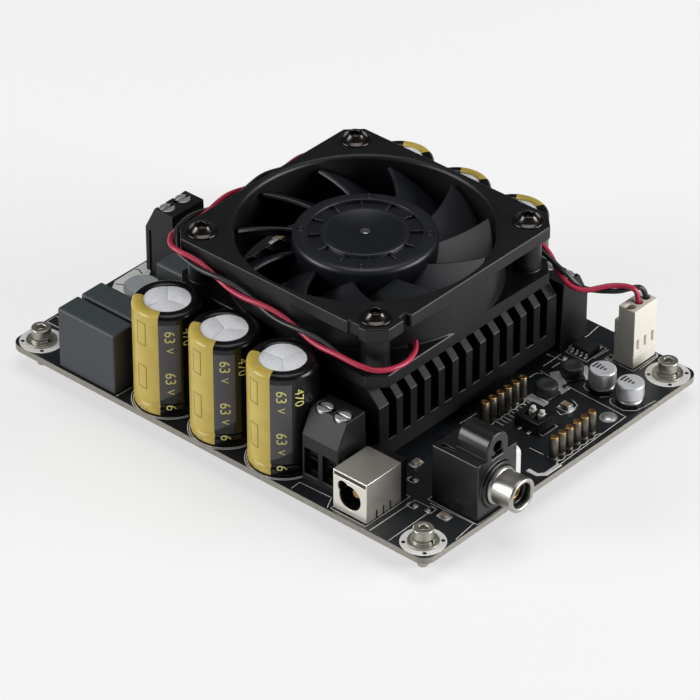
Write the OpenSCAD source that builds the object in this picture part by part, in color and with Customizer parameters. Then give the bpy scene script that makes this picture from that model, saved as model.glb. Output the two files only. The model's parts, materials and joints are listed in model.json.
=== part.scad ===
// Stereo amplifier board: heat sink and fan in the middle, capacitor rows in front and behind,
// rising-clamp terminals, a power jack, a phono jack, headers and a slide switch along the edges.
// Origin: middle of the corner screws, on the plane of their free ends. X runs along the long edge,
// -Y is the edge with the power jack, +Z is up.

/* [Circuit board] */
// Distance of the film capacitors from the left edge
film_edge_gap = 14.9; // [12:0.1:20]
// Distance of the power jack from the right edge
jack_edge_gap = 17.64; // [16:0.02:24]
// Thickness of the board
board_t = 1.6; // [1.2:0.2:2.4]
// Radius of the board's corners
board_corner_r = 3; // [1:0.5:4]
// Distance of each corner hole from both edges
hole_inset = 5; // [4.5:0.5:6]
// Diameter of the corner holes
hole_d = 2.8; // [2.7:0.1:3.2]

/* [Corner screws] */
// Diameter of a screw's shank
stud_d = 2.5; // [2.4:0.1:2.6]
// Diameter of the thread's core, where the nut and the washers hold it
neck_d = 2.2; // [2:0.1:2.3]
// Free length below the nut
stud_free = 2.4; // [2.2:0.1:4]
// Diameter of the cap head
head_d = 4.5; // [4:0.1:5.5]
// Height of the cap head
head_h = 2.5; // [2.2:0.1:3]
// Width across flats of the head's socket
head_socket_af = 2; // [1.5:0.1:2.5]
// Depth of the head's socket
head_socket_deep = 1.2; // [0.8:0.1:1.6]
// Diameter of the flat washer
washer_d = 7; // [6:0.1:8]
// Thickness of the flat washer
washer_t = 0.5; // [0.3:0.1:0.8]
// Diameter of the split spring washer
spring_d = 5.2; // [4.8:0.1:5.6]
// Thickness of the split spring washer
spring_t = 0.7; // [0.5:0.1:1]
// Width across flats of the nut
nut_af = 5; // [4.5:0.1:5.5]
// Height of the nut
nut_h = 2; // [1.6:0.1:2.4]
// Gap of a screw in its washers, nuts and tapped holes
thread_gap = 0.05; // [0.02:0.01:0.08]

/* [Heat sink] */
// Setback of the fins from the fan's sides along X
sink_setback = 0; // [0:0.5:3]
// Height from the underside of the base to the fin tops
sink_h = 17.6; // [14:0.2:24]
// Thickness of the base
sink_base_t = 4.2; // [3:0.2:6]
// Thickness of an inner fin
fin_t = 2.2; // [1.6:0.1:2.4]
// Thickness of the two outer fins
end_fin_t = 3.2; // [2.4:0.1:4]
// Bevel on the upper corners of the fins
fin_bevel = 4; // [1:0.5:6]
// Number of fin spaces between the two rows of fan screws
fin_spaces = 11; // [11:2:11]
// Thickness of the amplifier chip
chip_t = 2.4; // [1.5:0.1:3]
// Side of the amplifier chip
chip_w = 24; // [16:1:28]
// Thickness of the thermal pad
pad_t = 1; // [0.5:0.1:1.5]
// Diameter of the legs under the base
leg_d = 6; // [5:0.5:8]
// Spacing of the legs along X
leg_px = 46; // [40:1:50]
// Spacing of the legs along Y
leg_py = 40; // [36:1:46]
// Diameter of the heads of the screws from below
leg_head_d = 5.4; // [4.6:0.1:5.8]
// Height of the heads of the screws from below
leg_head_h = 1.8; // [1.2:0.1:2]

/* [Fan] */
// Width of the square fan frame
fan_w = 60; // [59:0.5:62]
// Thickness of the fan
fan_t = 15; // [14:0.5:20]
// Distance of the fan's screws from its sides
fan_hole_inset = 5; // [4.5:0.1:5.5]
// Rim left between the duct and the frame's sides
duct_rim = 1.5; // [1.2:0.1:2.5]
// Wall of the duct
duct_wall = 1.9; // [1.5:0.1:2.4]
// Thickness of the frame's two flanges
flange_t = 3.3; // [2.5:0.1:4]
// Bevel at the flange corners
flange_cut = 3.5; // [2:0.5:4]
// Diameter of the corner posts
post_d = 6.2; // [5.5:0.1:7]
// Bore of the corner posts
post_bore = 3.5; // [3.2:0.1:4]
// Diameter of the hub
hub_d = 32; // [28:0.5:34]
// Depth of the hub's top below the frame's top
hub_drop = 1.2; // [0.8:0.1:2]
// Wall of the hub
hub_wall = 1.5; // [1.2:0.1:2]
// Number of blades
blade_n = 11; // [7:1:13]
// Thickness of a blade along Z
blade_t = 1.3; // [1:0.1:1.8]
// Gap between the blade tips and the duct
tip_gap = 0.8; // [0.5:0.1:1.5]
// Turn of a blade from its upper to its lower edge, at the hub
blade_turn_root = 36; // [28:1:40]
// Turn of a blade from its upper to its lower edge, at the tip
blade_turn_tip = 30; // [24:1:34]
// Lead of the blade's tip over its root
blade_sweep = 15; // [0:1:20]
// Diameter of the rotor shaft
shaft_d = 3; // [2.5:0.5:3]
// Radial running gap of the shaft in its bearing
shaft_gap = 0.03; // [0.02:0.01:0.08]
// Flange diameter of the fan screws
fan_screw_flange_d = 7; // [6:0.1:8]
// Shank diameter of the fan screws
fan_screw_d = 3; // [2.6:0.1:3.1]
// Reach of the fan screws into the fins
fan_screw_reach = 8; // [5:0.5:10]

/* [Capacitors] */
// Diameter of the electrolytic capacitors
cap_d = 15.6; // [12:0.2:16]
// Height of the electrolytic capacitors
cap_h = 26.1; // [20:0.1:36]
// Gap between two capacitors of a row
cap_space = 1.2; // [0.6:0.1:3]
// Distance of a row's middle capacitor from the fan's axis along X
cap_shift = 6.4; // [4:0.1:8]
// Gap between the fan's sides and the two rows
cap_fan_gap = 0.2; // [0.2:0.1:2]
// Distance of the two rows from the board's edges
cap_edge_gap = 0.2; // [0:0.1:3]
// Length of the two large film capacitors
film_l = 17; // [13:0.5:18]
// Width of the two large film capacitors
film_w = 6.6; // [5:0.2:7]
// Height of the two large film capacitors
film_h = 15.4; // [10:0.2:20]
// Gap between the two large film capacitors
film_gap = 0.8; // [0.4:0.1:1.5]
// Diameter of the drum inductor
drum_d = 8.6; // [8:0.1:11.5]
// Height of the drum inductor
drum_h = 9.5; // [6:0.5:14]

/* [Terminals] */
// Spacing of the two poles
pole_pitch = 5.08; // [5:0.02:5.5]
// Height of a terminal
term_h = 17.5; // [17:0.1:20]
// Depth of a terminal at the board
term_d = 9.4; // [9.2:0.1:10]
// Depth of the bevel above the wire entries
term_bevel_d = 3; // [2:0.1:3.4]
// Height at which the bevel starts
term_bevel_z = 11.6; // [11.6:0.1:13]
// Width of a wire entry
entry_w = 3.8; // [3.4:0.1:3.9]
// Height of a wire entry
entry_h = 6.8; // [5:0.1:7]
// Head diameter of a clamp screw
clamp_head_d = 3.7; // [3.2:0.1:3.8]
// Shank diameter of a clamp screw
clamp_shank_d = 2.5; // [2:0.1:2.6]
// Rise of a cage from open to closed
cage_travel = 2.5; // [1.5:0.1:2.5]
// Sliding gap of a cage in its housing
cage_gap = 0.15; // [0.1:0.05:0.2]

/* [Power jack] */
// Width of the power jack
jack_w = 9.4; // [9:0.1:10]
// Height of the power jack
jack_h = 10.2; // [10:0.1:12]
// Depth of the jack's plastic
jack_d = 13.2; // [12.5:0.1:15]
// Depth of the jack's metal shield
shield_d = 11; // [8:0.1:12]
// Thickness of the sheet metal
sheet_t = 0.3; // [0.2:0.05:0.5]
// Bore of the jack
jack_bore = 6; // [5.6:0.1:6.4]
// Diameter of the jack's pin
jack_pin_d = 2; // [1.6:0.1:2.5]

/* [Phono jack] */
// Distance of the jack's axis from the front edge
phono_edge_gap = 23.8; // [20:0.1:30]
// Width and depth of the phono jack's body
phono_w = 12.7; // [12.5:0.1:14.5]
// Height of the phono jack's body
phono_h = 14.2; // [12.4:0.1:16]
// Height of the barrel's axis above the board
phono_axis_z = 6.9; // [6.2:0.1:7.4]
// Outer diameter of the barrel
barrel_d = 8; // [7.8:0.1:8.4]
// Length of the barrel in front of the body
barrel_l = 7.1; // [6.5:0.1:10]
// Radius of the screw ridge on the body
ridge_r = 3.4; // [3:0.1:4.4]
// Length of the screw ridge
ridge_l = 8.3; // [5:0.1:11]

/* [Connectors and small parts] */
// Spacing of the header and connector pins
pin_pitch = 2.54; // [2.5:0.02:2.6]
// Height of the module header posts
header_pin_h = 5.9; // [4:0.1:8]
// Diameter of the module header posts
header_pin_d = 2.1; // [1.4:0.1:2.2]
// Diameter of the round tip of a header post
header_tip_d = 1.5; // [1:0.1:1.8]
// Height of the fan plug's top above the board
plug_top = 15; // [14:0.1:18]
// Depth of the fan plug along X
plug_x = 4.6; // [4:0.1:5]
// Diameter of the surface-mount capacitors
can_d = 6.3; // [5:0.1:6.4]
// Height of the surface-mount capacitors
can_h = 5.6; // [4:0.1:8]
// Diameter of the surface-mount inductors
choke_d = 5.6; // [4.5:0.1:6]
// Height of the surface-mount inductors
choke_h = 3; // [2:0.1:4]
// Height of the slide switch
switch_h = 3; // [2.6:0.1:4]
// Travel of a switch slider
switch_travel = 1.6; // [1:0.1:1.8]

/* [Fan leads] */
// Diameter of a fan lead
lead_d = 1.2; // [0.9:0.1:1.3]

/* [Hidden] */
$fn = 48;

eps = 0.01;
board_z = stud_free + nut_h;
top_z = board_z + board_t;
term_l = 2 * pole_pitch + 0.1;
cap_film_gap = 1.6;
cap_term_gap = 0.2;
term_jack_gap = 1.8;
left_of_caps = film_edge_gap + film_l + cap_film_gap;
caps_l = 3 * cap_d + 2 * cap_space;
board_x = left_of_caps + caps_l + cap_term_gap + term_l + term_jack_gap + jack_w + jack_edge_gap;
edge_x = board_x / 2;
cooler_x = -edge_x + left_of_caps + caps_l / 2 + cap_shift;
row_y = fan_w / 2 + cap_fan_gap + cap_d / 2;
edge_y = row_y + cap_d / 2 + cap_edge_gap;
board_y = 2 * edge_y;
hole_x = edge_x - hole_inset;
hole_y = edge_y - hole_inset;

// Stack of the cooler
sink_z = top_z + chip_t + pad_t;
fan_z = sink_z + sink_h;
fan_pitch = fan_w - 2 * fan_hole_inset;
sink_x = fan_w - 2 * sink_setback;
fin_pitch = fan_pitch / fin_spaces;
fin_half = (fin_spaces + 1) / 2;
slot_w = fin_pitch - fin_t;
sink_y = 2 * (fin_half * fin_pitch - fin_t / 2 + end_fin_t);
leg_tap_d = 2.3;
fan_screw_core_d = slot_w - 2 * thread_gap;

// Inside of the fan motor, heights from the fan's underside
duct_r = fan_w / 2 - duct_rim;
hub_r = hub_d / 2;
hub_top = fan_t - hub_drop;
hub_low = 3.6;
hub_roof_t = 2;
motor_plate_t = 1.8;
motor_plate_r = hub_r - 0.6;
tube_r = shaft_d / 2 + 2.1;
sleeve_r = shaft_d / 2 + 1.1;
hub_boss_r = shaft_d / 2 + 1.6;
hub_boss_l = 2.2;
driver_t = 0.8;
magnet_t = 1.8;
magnet_gap = 0.1;
magnet_r = hub_r - hub_wall - magnet_gap;
air_gap = 0.8;
stator_low = motor_plate_t + driver_t + 1.2;
motor_top = hub_top - hub_roof_t - hub_boss_l - 0.5;
strut_h = 2;
strut_w = 3.2;
blade_low = 3.2;
blade_root_high = hub_top - 3;
blade_tip_high = hub_top - 1;
blade_phase = -108;
blade_root_r = hub_r - hub_wall / 2;
blade_tip_r = duct_r - tip_gap;
blade_rows = 6;
blade_steps = 8;

// Terminal, with its wire entries facing -Y and its poles along X
term_top_back = term_d - 0.8;
term_wall = 0.9;
cage_floor = 1.3;
cavity_d = 6.6;
cage_h = 7;
cage_bar = 1;
cage_head = 2.2;
cage_side = 0.5;
cage_d = 4.3;
cage_y = 1.2;
cage_z = cage_floor + 0.25;
cavity_top = cage_z + cage_h + cage_travel + 0.3;
screw_y = cage_y + cage_d / 2 + 1.2;
bar_z = cage_z + cage_bar + cage_travel + 0.3;
bar_t = 0.8;
clamp_seat_z = cavity_top + 1.2;
clamp_head_h = term_h - clamp_seat_z - 0.2;
clamp_low = bar_z + bar_t + 0.4;

// Places on the board
cap_pitch = cap_d + cap_space;
cap_xs = [for (i = [-1:1]) cooler_x - cap_shift + i * cap_pitch];
cap_rows = [-row_y, row_y];
power_x = cap_xs[2] + cap_d / 2 + cap_term_gap + term_l / 2;
power_y = -edge_y + 5;
left_x = -edge_x + 2.5;
left_y = 0.4;
rear_x = power_x + 0.8;
rear_y = edge_y - 5;
jack_x = power_x + term_l / 2 + term_jack_gap + jack_w / 2;
jack_y = -edge_y + 1.4;
jack_axis_z = 4.7;
jack_bore_l = jack_d - 2.8;
spring_l = jack_bore_l - 1.4;
phono_x = edge_x - 0.8;
phono_y = phono_edge_gap - edge_y;
header_xs = [edge_x - 22.9, edge_x - 3.5];
header_y = 6.2;
header_pins = 6;
fan_plug_at = [edge_x - 14.1, edge_y - 4.85];
fan_pins = 3;
plug_y = fan_pins * pin_pitch + 0.2;
plug_low = 3.2;
lock_wall_t = 1;
lock_wall_h = 11;
film_x = cap_xs[0] - cap_d / 2 - cap_film_gap - film_l / 2;
film_y = -edge_y + 0.6 + film_w / 2;
film_small = [10, 6.4, 12];
film_small_at = [-edge_x + 20, -11.2];
drum_at = [-edge_x + 16.1, -19.9];
can_at = [[edge_x - 12.2, edge_y - 19], [edge_x - 4.4, edge_y - 19]];
choke_at = [[edge_x - 20.3, edge_y - 19.4], [edge_x - 20, edge_y - 28.6]];
driver_at = [edge_x - 24.3, edge_y - 9.7];
switch_at = [edge_x - 14.6, 7];
switch_x = 6.7;
switch_y = 6.2;
slider_w = 1.4;
slider_l = 1.6;
slider_gap = 0.1;
// Small chips: distance from the right or left edge, place along Y, length, width, height, turn
front = -edge_y;
rear = edge_y;
right_chips = [
    [13.4, rear - 29.8, 2.4, 1.6, 1.2, 0], [7.4, front + 14.6, 2, 1.3, 0.8, 0],
    [11, front + 14.4, 1.6, 0.8, 0.5, 90], [15, front + 13, 1.6, 0.8, 0.5, 0], [24.6, -9.4, 2, 1.3, 0.8, 90],
    [22.4, -4, 1.6, 0.8, 0.5, 0], [18, -1.6, 2.6, 1.6, 1, 0], [18.6, rear - 24, 1.6, 0.8, 0.5, 0],
    [18.4, rear - 11.4, 1.6, 0.8, 0.5, 90], [18.4, rear - 8.6, 1.6, 0.8, 0.5, 90],
    [26.4, rear - 15.6, 1.6, 0.8, 0.5, 0], [20, -12.6, 1.6, 0.8, 0.5, 90], [22.6, -15.4, 1.6, 0.8, 0.5, 90],
    [24.4, -21, 2, 1.3, 0.8, 90], [21, front + 20, 1.6, 0.8, 0.5, 0], [7.8, rear - 31.4, 1.6, 0.8, 0.5, 90]];
left_chips = [
    [7.6, front + 19.6, 2, 1.3, 0.8, 0], [7.6, front + 15, 2, 1.3, 0.8, 0], [23, rear - 26, 3.2, 1.6, 1, 90],
    [17, rear - 22, 3.2, 1.6, 1, 90], [27, rear - 12, 3.2, 1.6, 1, 0]];

// Routes of the twisted fan leads, from the frame's wire hole round the four posts to the plug,
// with heights above the board
lead_red_route = [
    [31.59, -15.65, 26.47], [33.34, -17.66, 26.56], [34.61, -20.06, 26.64], [35.35, -22.7, 26.72],
    [35.27, -25.45, 26.82], [34.41, -28.07, 26.96], [32.6, -30.2, 27.18], [30.05, -31.23, 27.49],
    [27.42, -31.73, 27.75], [24.78, -31.94, 27.99], [22.15, -32.08, 28.06], [19.5, -32.03, 27.92],
    [16.87, -31.72, 27.9], [14.27, -31.29, 28.15], [11.7, -30.94, 28.68], [9.16, -30.81, 29.39],
    [6.61, -30.97, 30.09], [4.04, -31.35, 30.6], [1.44, -31.77, 30.82], [-1.19, -32.05, 30.8],
    [-3.84, -32.06, 30.68], [-6.47, -31.79, 30.67], [-9.08, -31.38, 30.93], [-11.64, -30.99, 31.49],
    [-14.16, -30.81, 32.27], [-16.69, -30.92, 33.06], [-19.24, -31.28, 33.66], [-21.87, -31.69, 33.98],
    [-24.58, -31.21, 34.09], [-26.72, -29.34, 34.04], [-28.04, -26.9, 33.8], [-27.97, -24.19, 33.75],
    [-27.62, -21.59, 33.89], [-27.47, -18.97, 34.2], [-27.58, -16.35, 34.55], [-27.94, -13.74, 34.78],
    [-28.41, -11.14, 34.75], [-28.8, -8.54, 34.45], [-28.94, -5.94, 33.96], [-28.78, -3.34, 33.48],
    [-28.41, -0.74, 33.18], [-27.98, 1.87, 33.16], [-27.7, 4.49, 33.35], [-27.67, 7.12, 33.62],
    [-27.91, 9.75, 33.77], [-28.3, 12.37, 33.67], [-28.65, 14.96, 33.26], [-28.8, 17.53, 32.58],
    [-28.61, 20.08, 31.87], [-28.18, 22.65, 31.41], [-27.72, 25.22, 31.3], [-26.93, 27.55, 31.41],
    [-25.53, 29.47, 31.58], [-23.58, 30.96, 31.65], [-21.09, 31.71, 31.47], [-18.49, 32.04, 31.02],
    [-15.91, 32.06, 30.41], [-13.32, 31.79, 29.9], [-10.73, 31.34, 29.66], [-8.11, 30.94, 29.72],
    [-5.47, 30.81, 29.97], [-2.84, 31.01, 30.2], [-0.22, 31.43, 30.19], [2.38, 31.87, 29.82],
    [4.94, 32.08, 29.19], [7.49, 31.98, 28.48], [10.05, 31.6, 27.92], [12.65, 31.14, 27.66],
    [15.28, 30.85, 27.67], [17.93, 30.86, 27.76], [20.57, 31.15, 27.68], [23.18, 31.59, 27.24],
    [25.69, 31.95, 26.33], [28.1, 31.92, 25.14], [30.31, 31.5, 23.75], [32.26, 30.7, 22.28],
    [34.3, 30.55, 20.68], [36.51, 31.23, 19.15], [38.58, 32.87, 18.49], [40.15, 34.96, 18.61],
    [41.67, 37.1, 18.81], [43.48, 38.99, 18.77], [45.1, 40.1, 18.6], [46.2, 40.9, 17.8],
    [46.75, 41.12, 16.2], [46.9, 41.15, 14.2], [46.9, 41.15, 11.6]];
lead_black_route = [
    [30.81, -16.35, 25.73], [32.49, -18.27, 25.83], [33.65, -20.47, 25.91], [34.31, -22.85, 25.99],
    [34.23, -25.3, 26.09], [33.47, -27.61, 26.22], [31.93, -29.39, 26.45], [29.68, -30.25, 26.76],
    [27.21, -30.7, 27.02], [24.66, -30.89, 27.26], [22.11, -30.83, 27.77], [19.56, -30.88, 28.48],
    [17, -31.18, 29.06], [14.41, -31.61, 29.38], [11.79, -31.96, 29.44], [9.15, -32.09, 29.34],
    [6.51, -31.93, 29.25], [3.89, -31.55, 29.34], [1.31, -31.13, 29.72], [-1.25, -30.85, 30.34],
    [-3.79, -30.84, 31.08], [-6.33, -31.11, 31.74], [-8.9, -31.52, 32.19], [-11.51, -31.91, 32.37],
    [-14.15, -32.09, 32.38], [-16.79, -31.98, 32.35], [-19.41, -31.65, 32.45], [-21.96, -31.19, 32.81],
    [-24.1, -30.19, 33.49], [-25.74, -28.55, 34.28], [-27.25, -26.66, 34.78], [-27.95, -24.21, 35.03],
    [-28.41, -21.6, 34.9], [-28.72, -18.99, 34.48], [-28.73, -16.39, 33.98], [-28.47, -13.78, 33.61],
    [-28.08, -11.16, 33.52], [-27.76, -8.55, 33.7], [-27.66, -5.93, 34.03], [-27.84, -3.31, 34.34],
    [-28.22, -0.69, 34.45], [-28.64, 1.92, 34.26], [-28.9, 4.52, 33.79], [-28.88, 7.1, 33.2],
    [-28.59, 9.68, 32.69], [-28.14, 12.26, 32.4], [-27.72, 14.87, 32.38], [-27.52, 17.51, 32.55],
    [-27.63, 20.15, 32.7], [-28.01, 22.77, 32.68], [-28.43, 25.4, 32.35], [-28.04, 28.11, 31.71],
    [-26.31, 30.27, 30.97], [-23.8, 31.34, 30.45], [-21.13, 31.21, 30.29], [-18.52, 30.89, 30.47],
    [-15.89, 30.84, 30.78], [-13.26, 31.13, 30.99], [-10.64, 31.57, 30.91], [-8.05, 31.96, 30.49],
    [-5.48, 32.09, 29.87], [-2.91, 31.89, 29.28], [-0.32, 31.47, 28.91], [2.29, 31.03, 28.86],
    [4.93, 30.82, 29.02], [7.57, 30.92, 29.2], [10.2, 31.3, 29.16], [12.79, 31.76, 28.78],
    [15.33, 32.05, 28.09], [17.86, 32.04, 27.28], [20.38, 31.76, 26.57], [22.89, 31.35, 26.01],
    [25.41, 30.98, 25.54], [27.96, 30.64, 25.12], [30.5, 30.45, 24.45], [32.98, 30.42, 23.3],
    [34.84, 31.33, 21.54], [36.1, 32.36, 19.59], [37.66, 33.71, 18.17], [39.58, 35.46, 17.58],
    [41.72, 37.05, 17.53], [43.55, 38.9, 17.49], [44.9, 41, 17.7], [46, 42.5, 17.7],
    [46.7, 43.4, 16.6], [46.9, 43.69, 14.6], [46.9, 43.69, 11.6]];

// Shapes shared by several pieces

module rounded_plate(x, y, r) {
    square([x - 2 * r, y], center = true);
    square([x, y - 2 * r], center = true);
    for (sx = [-1, 1], sy = [-1, 1])
        translate([sx * (x / 2 - r), sy * (y / 2 - r)]) circle(r);
}

module hexagon(af, h) cylinder(d = af / cos(30), h = h, $fn = 6);

module tube(r_out, r_in, h) {
    difference() {
        cylinder(r = r_out, h = h);
        translate([0, 0, -eps]) cylinder(r = r_in, h = h + 2 * eps);
    }
}

module at_corners() {
    for (sx = [-1, 1], sy = [-1, 1])
        translate([sx * hole_x, sy * hole_y, 0]) children();
}

module at_cooler(z) translate([cooler_x, 0, z]) children();

module at_posts() {
    for (sx = [-1, 1], sy = [-1, 1])
        translate([sx * fan_pitch / 2, sy * fan_pitch / 2, 0]) children();
}

module at_legs() {
    for (sx = [-1, 1], sy = [-1, 1])
        translate([sx * leg_px / 2, sy * leg_py / 2, 0]) children();
}

module centred_box(x, y, z) translate([-x / 2, -y / 2, 0]) cube([x, y, z]);

// Board and its fasteners

module circuit_board() {
    color("#1b1d1f")
        difference() {
            translate([0, 0, board_z]) linear_extrude(board_t)
                rounded_plate(board_x, board_y, board_corner_r);
            at_corners() translate([0, 0, board_z - eps]) cylinder(d = hole_d, h = board_t + 2 * eps);
            at_cooler(board_z - eps) at_legs() cylinder(d = leg_tap_d + 0.6, h = board_t + 2 * eps);
        }
}

module corner_screws() {
    seat = top_z + washer_t + spring_t;
    color("#c9c7c2")
        at_corners() {
            difference() {
                translate([0, 0, seat]) cylinder(d = head_d, h = head_h);
                translate([0, 0, seat + head_h - head_socket_deep])
                    hexagon(head_socket_af, head_socket_deep + eps);
            }
            cylinder(d = stud_d, h = stud_free - thread_gap);
            translate([0, 0, thread_gap]) cylinder(d = neck_d, h = seat - thread_gap + eps);
        }
}

module corner_washers() {
    bore_r = stud_d / 2 + 2 * thread_gap;
    split = 0.6;
    color("#b4b2ac")
        at_corners() translate([0, 0, top_z]) {
            tube(washer_d / 2, bore_r, washer_t);
            translate([0, 0, washer_t])
                difference() {
                    tube(spring_d / 2, bore_r, spring_t);
                    translate([0, -split / 2, -eps]) cube([spring_d, split, spring_t + 2 * eps]);
                }
        }
}

module corner_nuts() {
    color("#bdbbb5")
        at_corners() translate([0, 0, stud_free])
            difference() {
                hexagon(nut_af, nut_h);
                translate([0, 0, -eps]) cylinder(d = neck_d + 2 * thread_gap, h = nut_h + 2 * eps);
            }
}

// Lead places under the board, in the order of the pieces that they belong to
cap_leads = [for (y = cap_rows, x = cap_xs, s = [-1, 1]) [x, y + s * 2.5]];
film_leads = [for (i = [0, 1], s = [-1, 1])
    [film_x + s * (film_l / 2 - 1), film_y + i * (film_w + film_gap)]];
term_leads = concat(
    [for (s = [-1, 1]) [power_x + s * pole_pitch / 2, power_y + 6.2]],
    [for (s = [-1, 1]) [left_x + 6.2, left_y + s * pole_pitch / 2]],
    [for (s = [-1, 1]) [rear_x + s * pole_pitch / 2, rear_y - 6.2]]);
pin_leads = [for (x = header_xs, i = [0 : header_pins - 1])
    [x, header_y + (i - (header_pins - 1) / 2) * pin_pitch]];
plug_leads = [for (i = [-1:1]) [fan_plug_at[0], fan_plug_at[1] + i * pin_pitch]];
jack_leads = [[jack_x, jack_y + 12], [jack_x, jack_y + 6], [jack_x - 3.4, jack_y + 9],
    [phono_x - 3, phono_y], [phono_x - 10, phono_y - 3], [phono_x - 10, phono_y + 3]];

module solder_joints() {
    joint_h = 1.3;
    color("#c3c3c4")
        for (p = concat(cap_leads, film_leads, term_leads, pin_leads, plug_leads, jack_leads))
            translate([p[0], p[1], board_z - joint_h]) cylinder(r1 = 0.35, r2 = 1, h = joint_h);
}

// Heat sink and what it cools

module amplifier_chip() {
    color("#232427") at_cooler(top_z) centred_box(chip_w, chip_w, chip_t);
}

module thermal_pad() {
    color("#b9b6b0") at_cooler(top_z + chip_t) centred_box(chip_w, chip_w, pad_t);
}

module fin(t) {
    half = sink_x / 2;
    rotate([90, 0, 0]) translate([0, 0, -t / 2]) linear_extrude(t)
        polygon([[-half, 0], [half, 0], [half, sink_h - fin_bevel], [half - fin_bevel, sink_h],
            [-half + fin_bevel, sink_h], [-half, sink_h - fin_bevel]]);
}

module heatsink() {
    end_y = fin_half * fin_pitch - fin_t / 2 + end_fin_t / 2;
    color("#1e1f20")
        at_cooler(sink_z)
            difference() {
                union() {
                    centred_box(sink_x, sink_y, sink_base_t);
                    for (k = [1 - fin_half : fin_half - 1])
                        translate([0, k * fin_pitch, 0]) fin(fin_t);
                    for (s = [-1, 1]) translate([0, s * end_y, 0]) fin(end_fin_t);
                    at_legs() translate([0, 0, top_z - sink_z]) cylinder(d = leg_d, h = sink_z - top_z + eps);
                }
                at_legs() translate([0, 0, top_z - sink_z - eps])
                    cylinder(d = leg_tap_d, h = sink_z - top_z + sink_base_t - 1);
            }
}

module heatsink_screws() {
    color("#b7b5af")
        at_cooler(0) at_legs() {
            translate([0, 0, board_z - leg_head_h])
                difference() {
                    cylinder(d = leg_head_d, h = leg_head_h);
                    translate([0, 0, -eps]) centred_box(leg_head_d * 0.7, 0.8, 0.8);
                }
            translate([0, 0, board_z - eps])
                cylinder(d = leg_tap_d - 2 * thread_gap, h = board_t + sink_z - top_z + 2);
        }
}

// Fan

module fan_outline() {
    half = fan_w / 2;
    cut = half - flange_cut;
    polygon([[half, -cut], [half, cut], [cut, half], [-cut, half],
        [-half, cut], [-half, -cut], [-cut, -half], [cut, -half]]);
}

module bell_mouth(r) {
    rotate_extrude()
        difference() {
            translate([duct_r - eps, -r]) square([r, r + eps]);
            translate([duct_r + r, -r]) circle(r);
        }
}

module fan_frame() {
    bell_r = duct_rim - 0.4;
    notch = [1.6, 2.2];
    notch_y = -fan_pitch / 2 + 3.4;
    step = [3, 0.7];
    step_x = fan_pitch / 2 - 3.5;
    color("#26282a")
        at_cooler(fan_z) {
            difference() {
                union() {
                    linear_extrude(flange_t) fan_outline();
                    translate([0, 0, fan_t - flange_t]) linear_extrude(flange_t) fan_outline();
                    intersection() {
                        cylinder(r = duct_r + duct_wall, h = fan_t);
                        linear_extrude(fan_t) fan_outline();
                    }
                    at_posts() cylinder(d = post_d, h = fan_t);
                }
                translate([0, 0, -eps]) cylinder(r = duct_r, h = fan_t + 2 * eps);
                translate([0, 0, fan_t]) bell_mouth(bell_r);
                at_posts() translate([0, 0, -eps]) cylinder(d = post_bore, h = fan_t + 2 * eps);
                translate([fan_w / 2 - notch[0], notch_y, fan_t - flange_t - eps])
                    cube([notch[0] + eps, notch[1], flange_t + 2 * eps]);
                translate([step_x, -fan_w / 2 - eps, fan_t - flange_t - eps])
                    cube([step[0], step[1] + eps, flange_t + 2 * eps]);
            }
            cylinder(r = motor_plate_r, h = motor_plate_t);
            for (k = [0:3])
                rotate([0, 0, 45 + k * 90]) translate([motor_plate_r - 1, -strut_w / 2, 0])
                    cube([duct_r - motor_plate_r + 1.5, strut_w, strut_h]);
            difference() {
                cylinder(r = tube_r, h = motor_top);
                translate([0, 0, motor_plate_t]) cylinder(r = sleeve_r, h = motor_top);
            }
        }
}

module fan_screws() {
    flange = 0.6;
    dome = 1.3;
    dome_r = 1.6;
    color("#4a4744")
        at_cooler(fan_z) at_posts() {
            translate([0, 0, fan_t])
                difference() {
                    rotate_extrude() polygon([[0, 0],
                        [fan_screw_flange_d / 2, 0], [fan_screw_flange_d / 2, flange / 2],
                        [fan_screw_d / 2 + 1.2, flange], [dome_r + 0.4, flange + dome * 0.6],
                        [dome_r, flange + dome], [0, flange + dome]]);
                    translate([0, 0, flange]) hexagon(2, dome + eps);
                }
            translate([0, 0, -eps]) cylinder(d = fan_screw_d, h = fan_t + 2 * eps);
            translate([0, 0, -fan_screw_reach]) cylinder(d = fan_screw_core_d, h = fan_screw_reach);
        }
}

// One blade: a grid of points over its upper and lower skins, lofted from the hub to the tip.
// It climbs from its lower edge to its upper edge against the clock.
function blade_point(i, j, side) =
    let (s = i / (blade_rows - 1),
        t = j / blade_steps,
        r = blade_root_r + (blade_tip_r - blade_root_r) * s,
        lead = -blade_sweep * (1 - s),
        turn = blade_turn_root + (blade_turn_tip - blade_turn_root) * s,
        high = blade_root_high + (blade_tip_high - blade_root_high) * s,
        camber = 0.07 * sin(180 * t),
        skin = blade_t / 2 * (0.35 + 0.65 * sin(180 * t)),
        a = lead - turn * t,
        z = high - (high - blade_low) * (t - camber) + side * skin)
    [r * cos(a), r * sin(a), z];

function blade_quad(a, b, c, d) = [[a, b, c], [a, c, d]];

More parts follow.
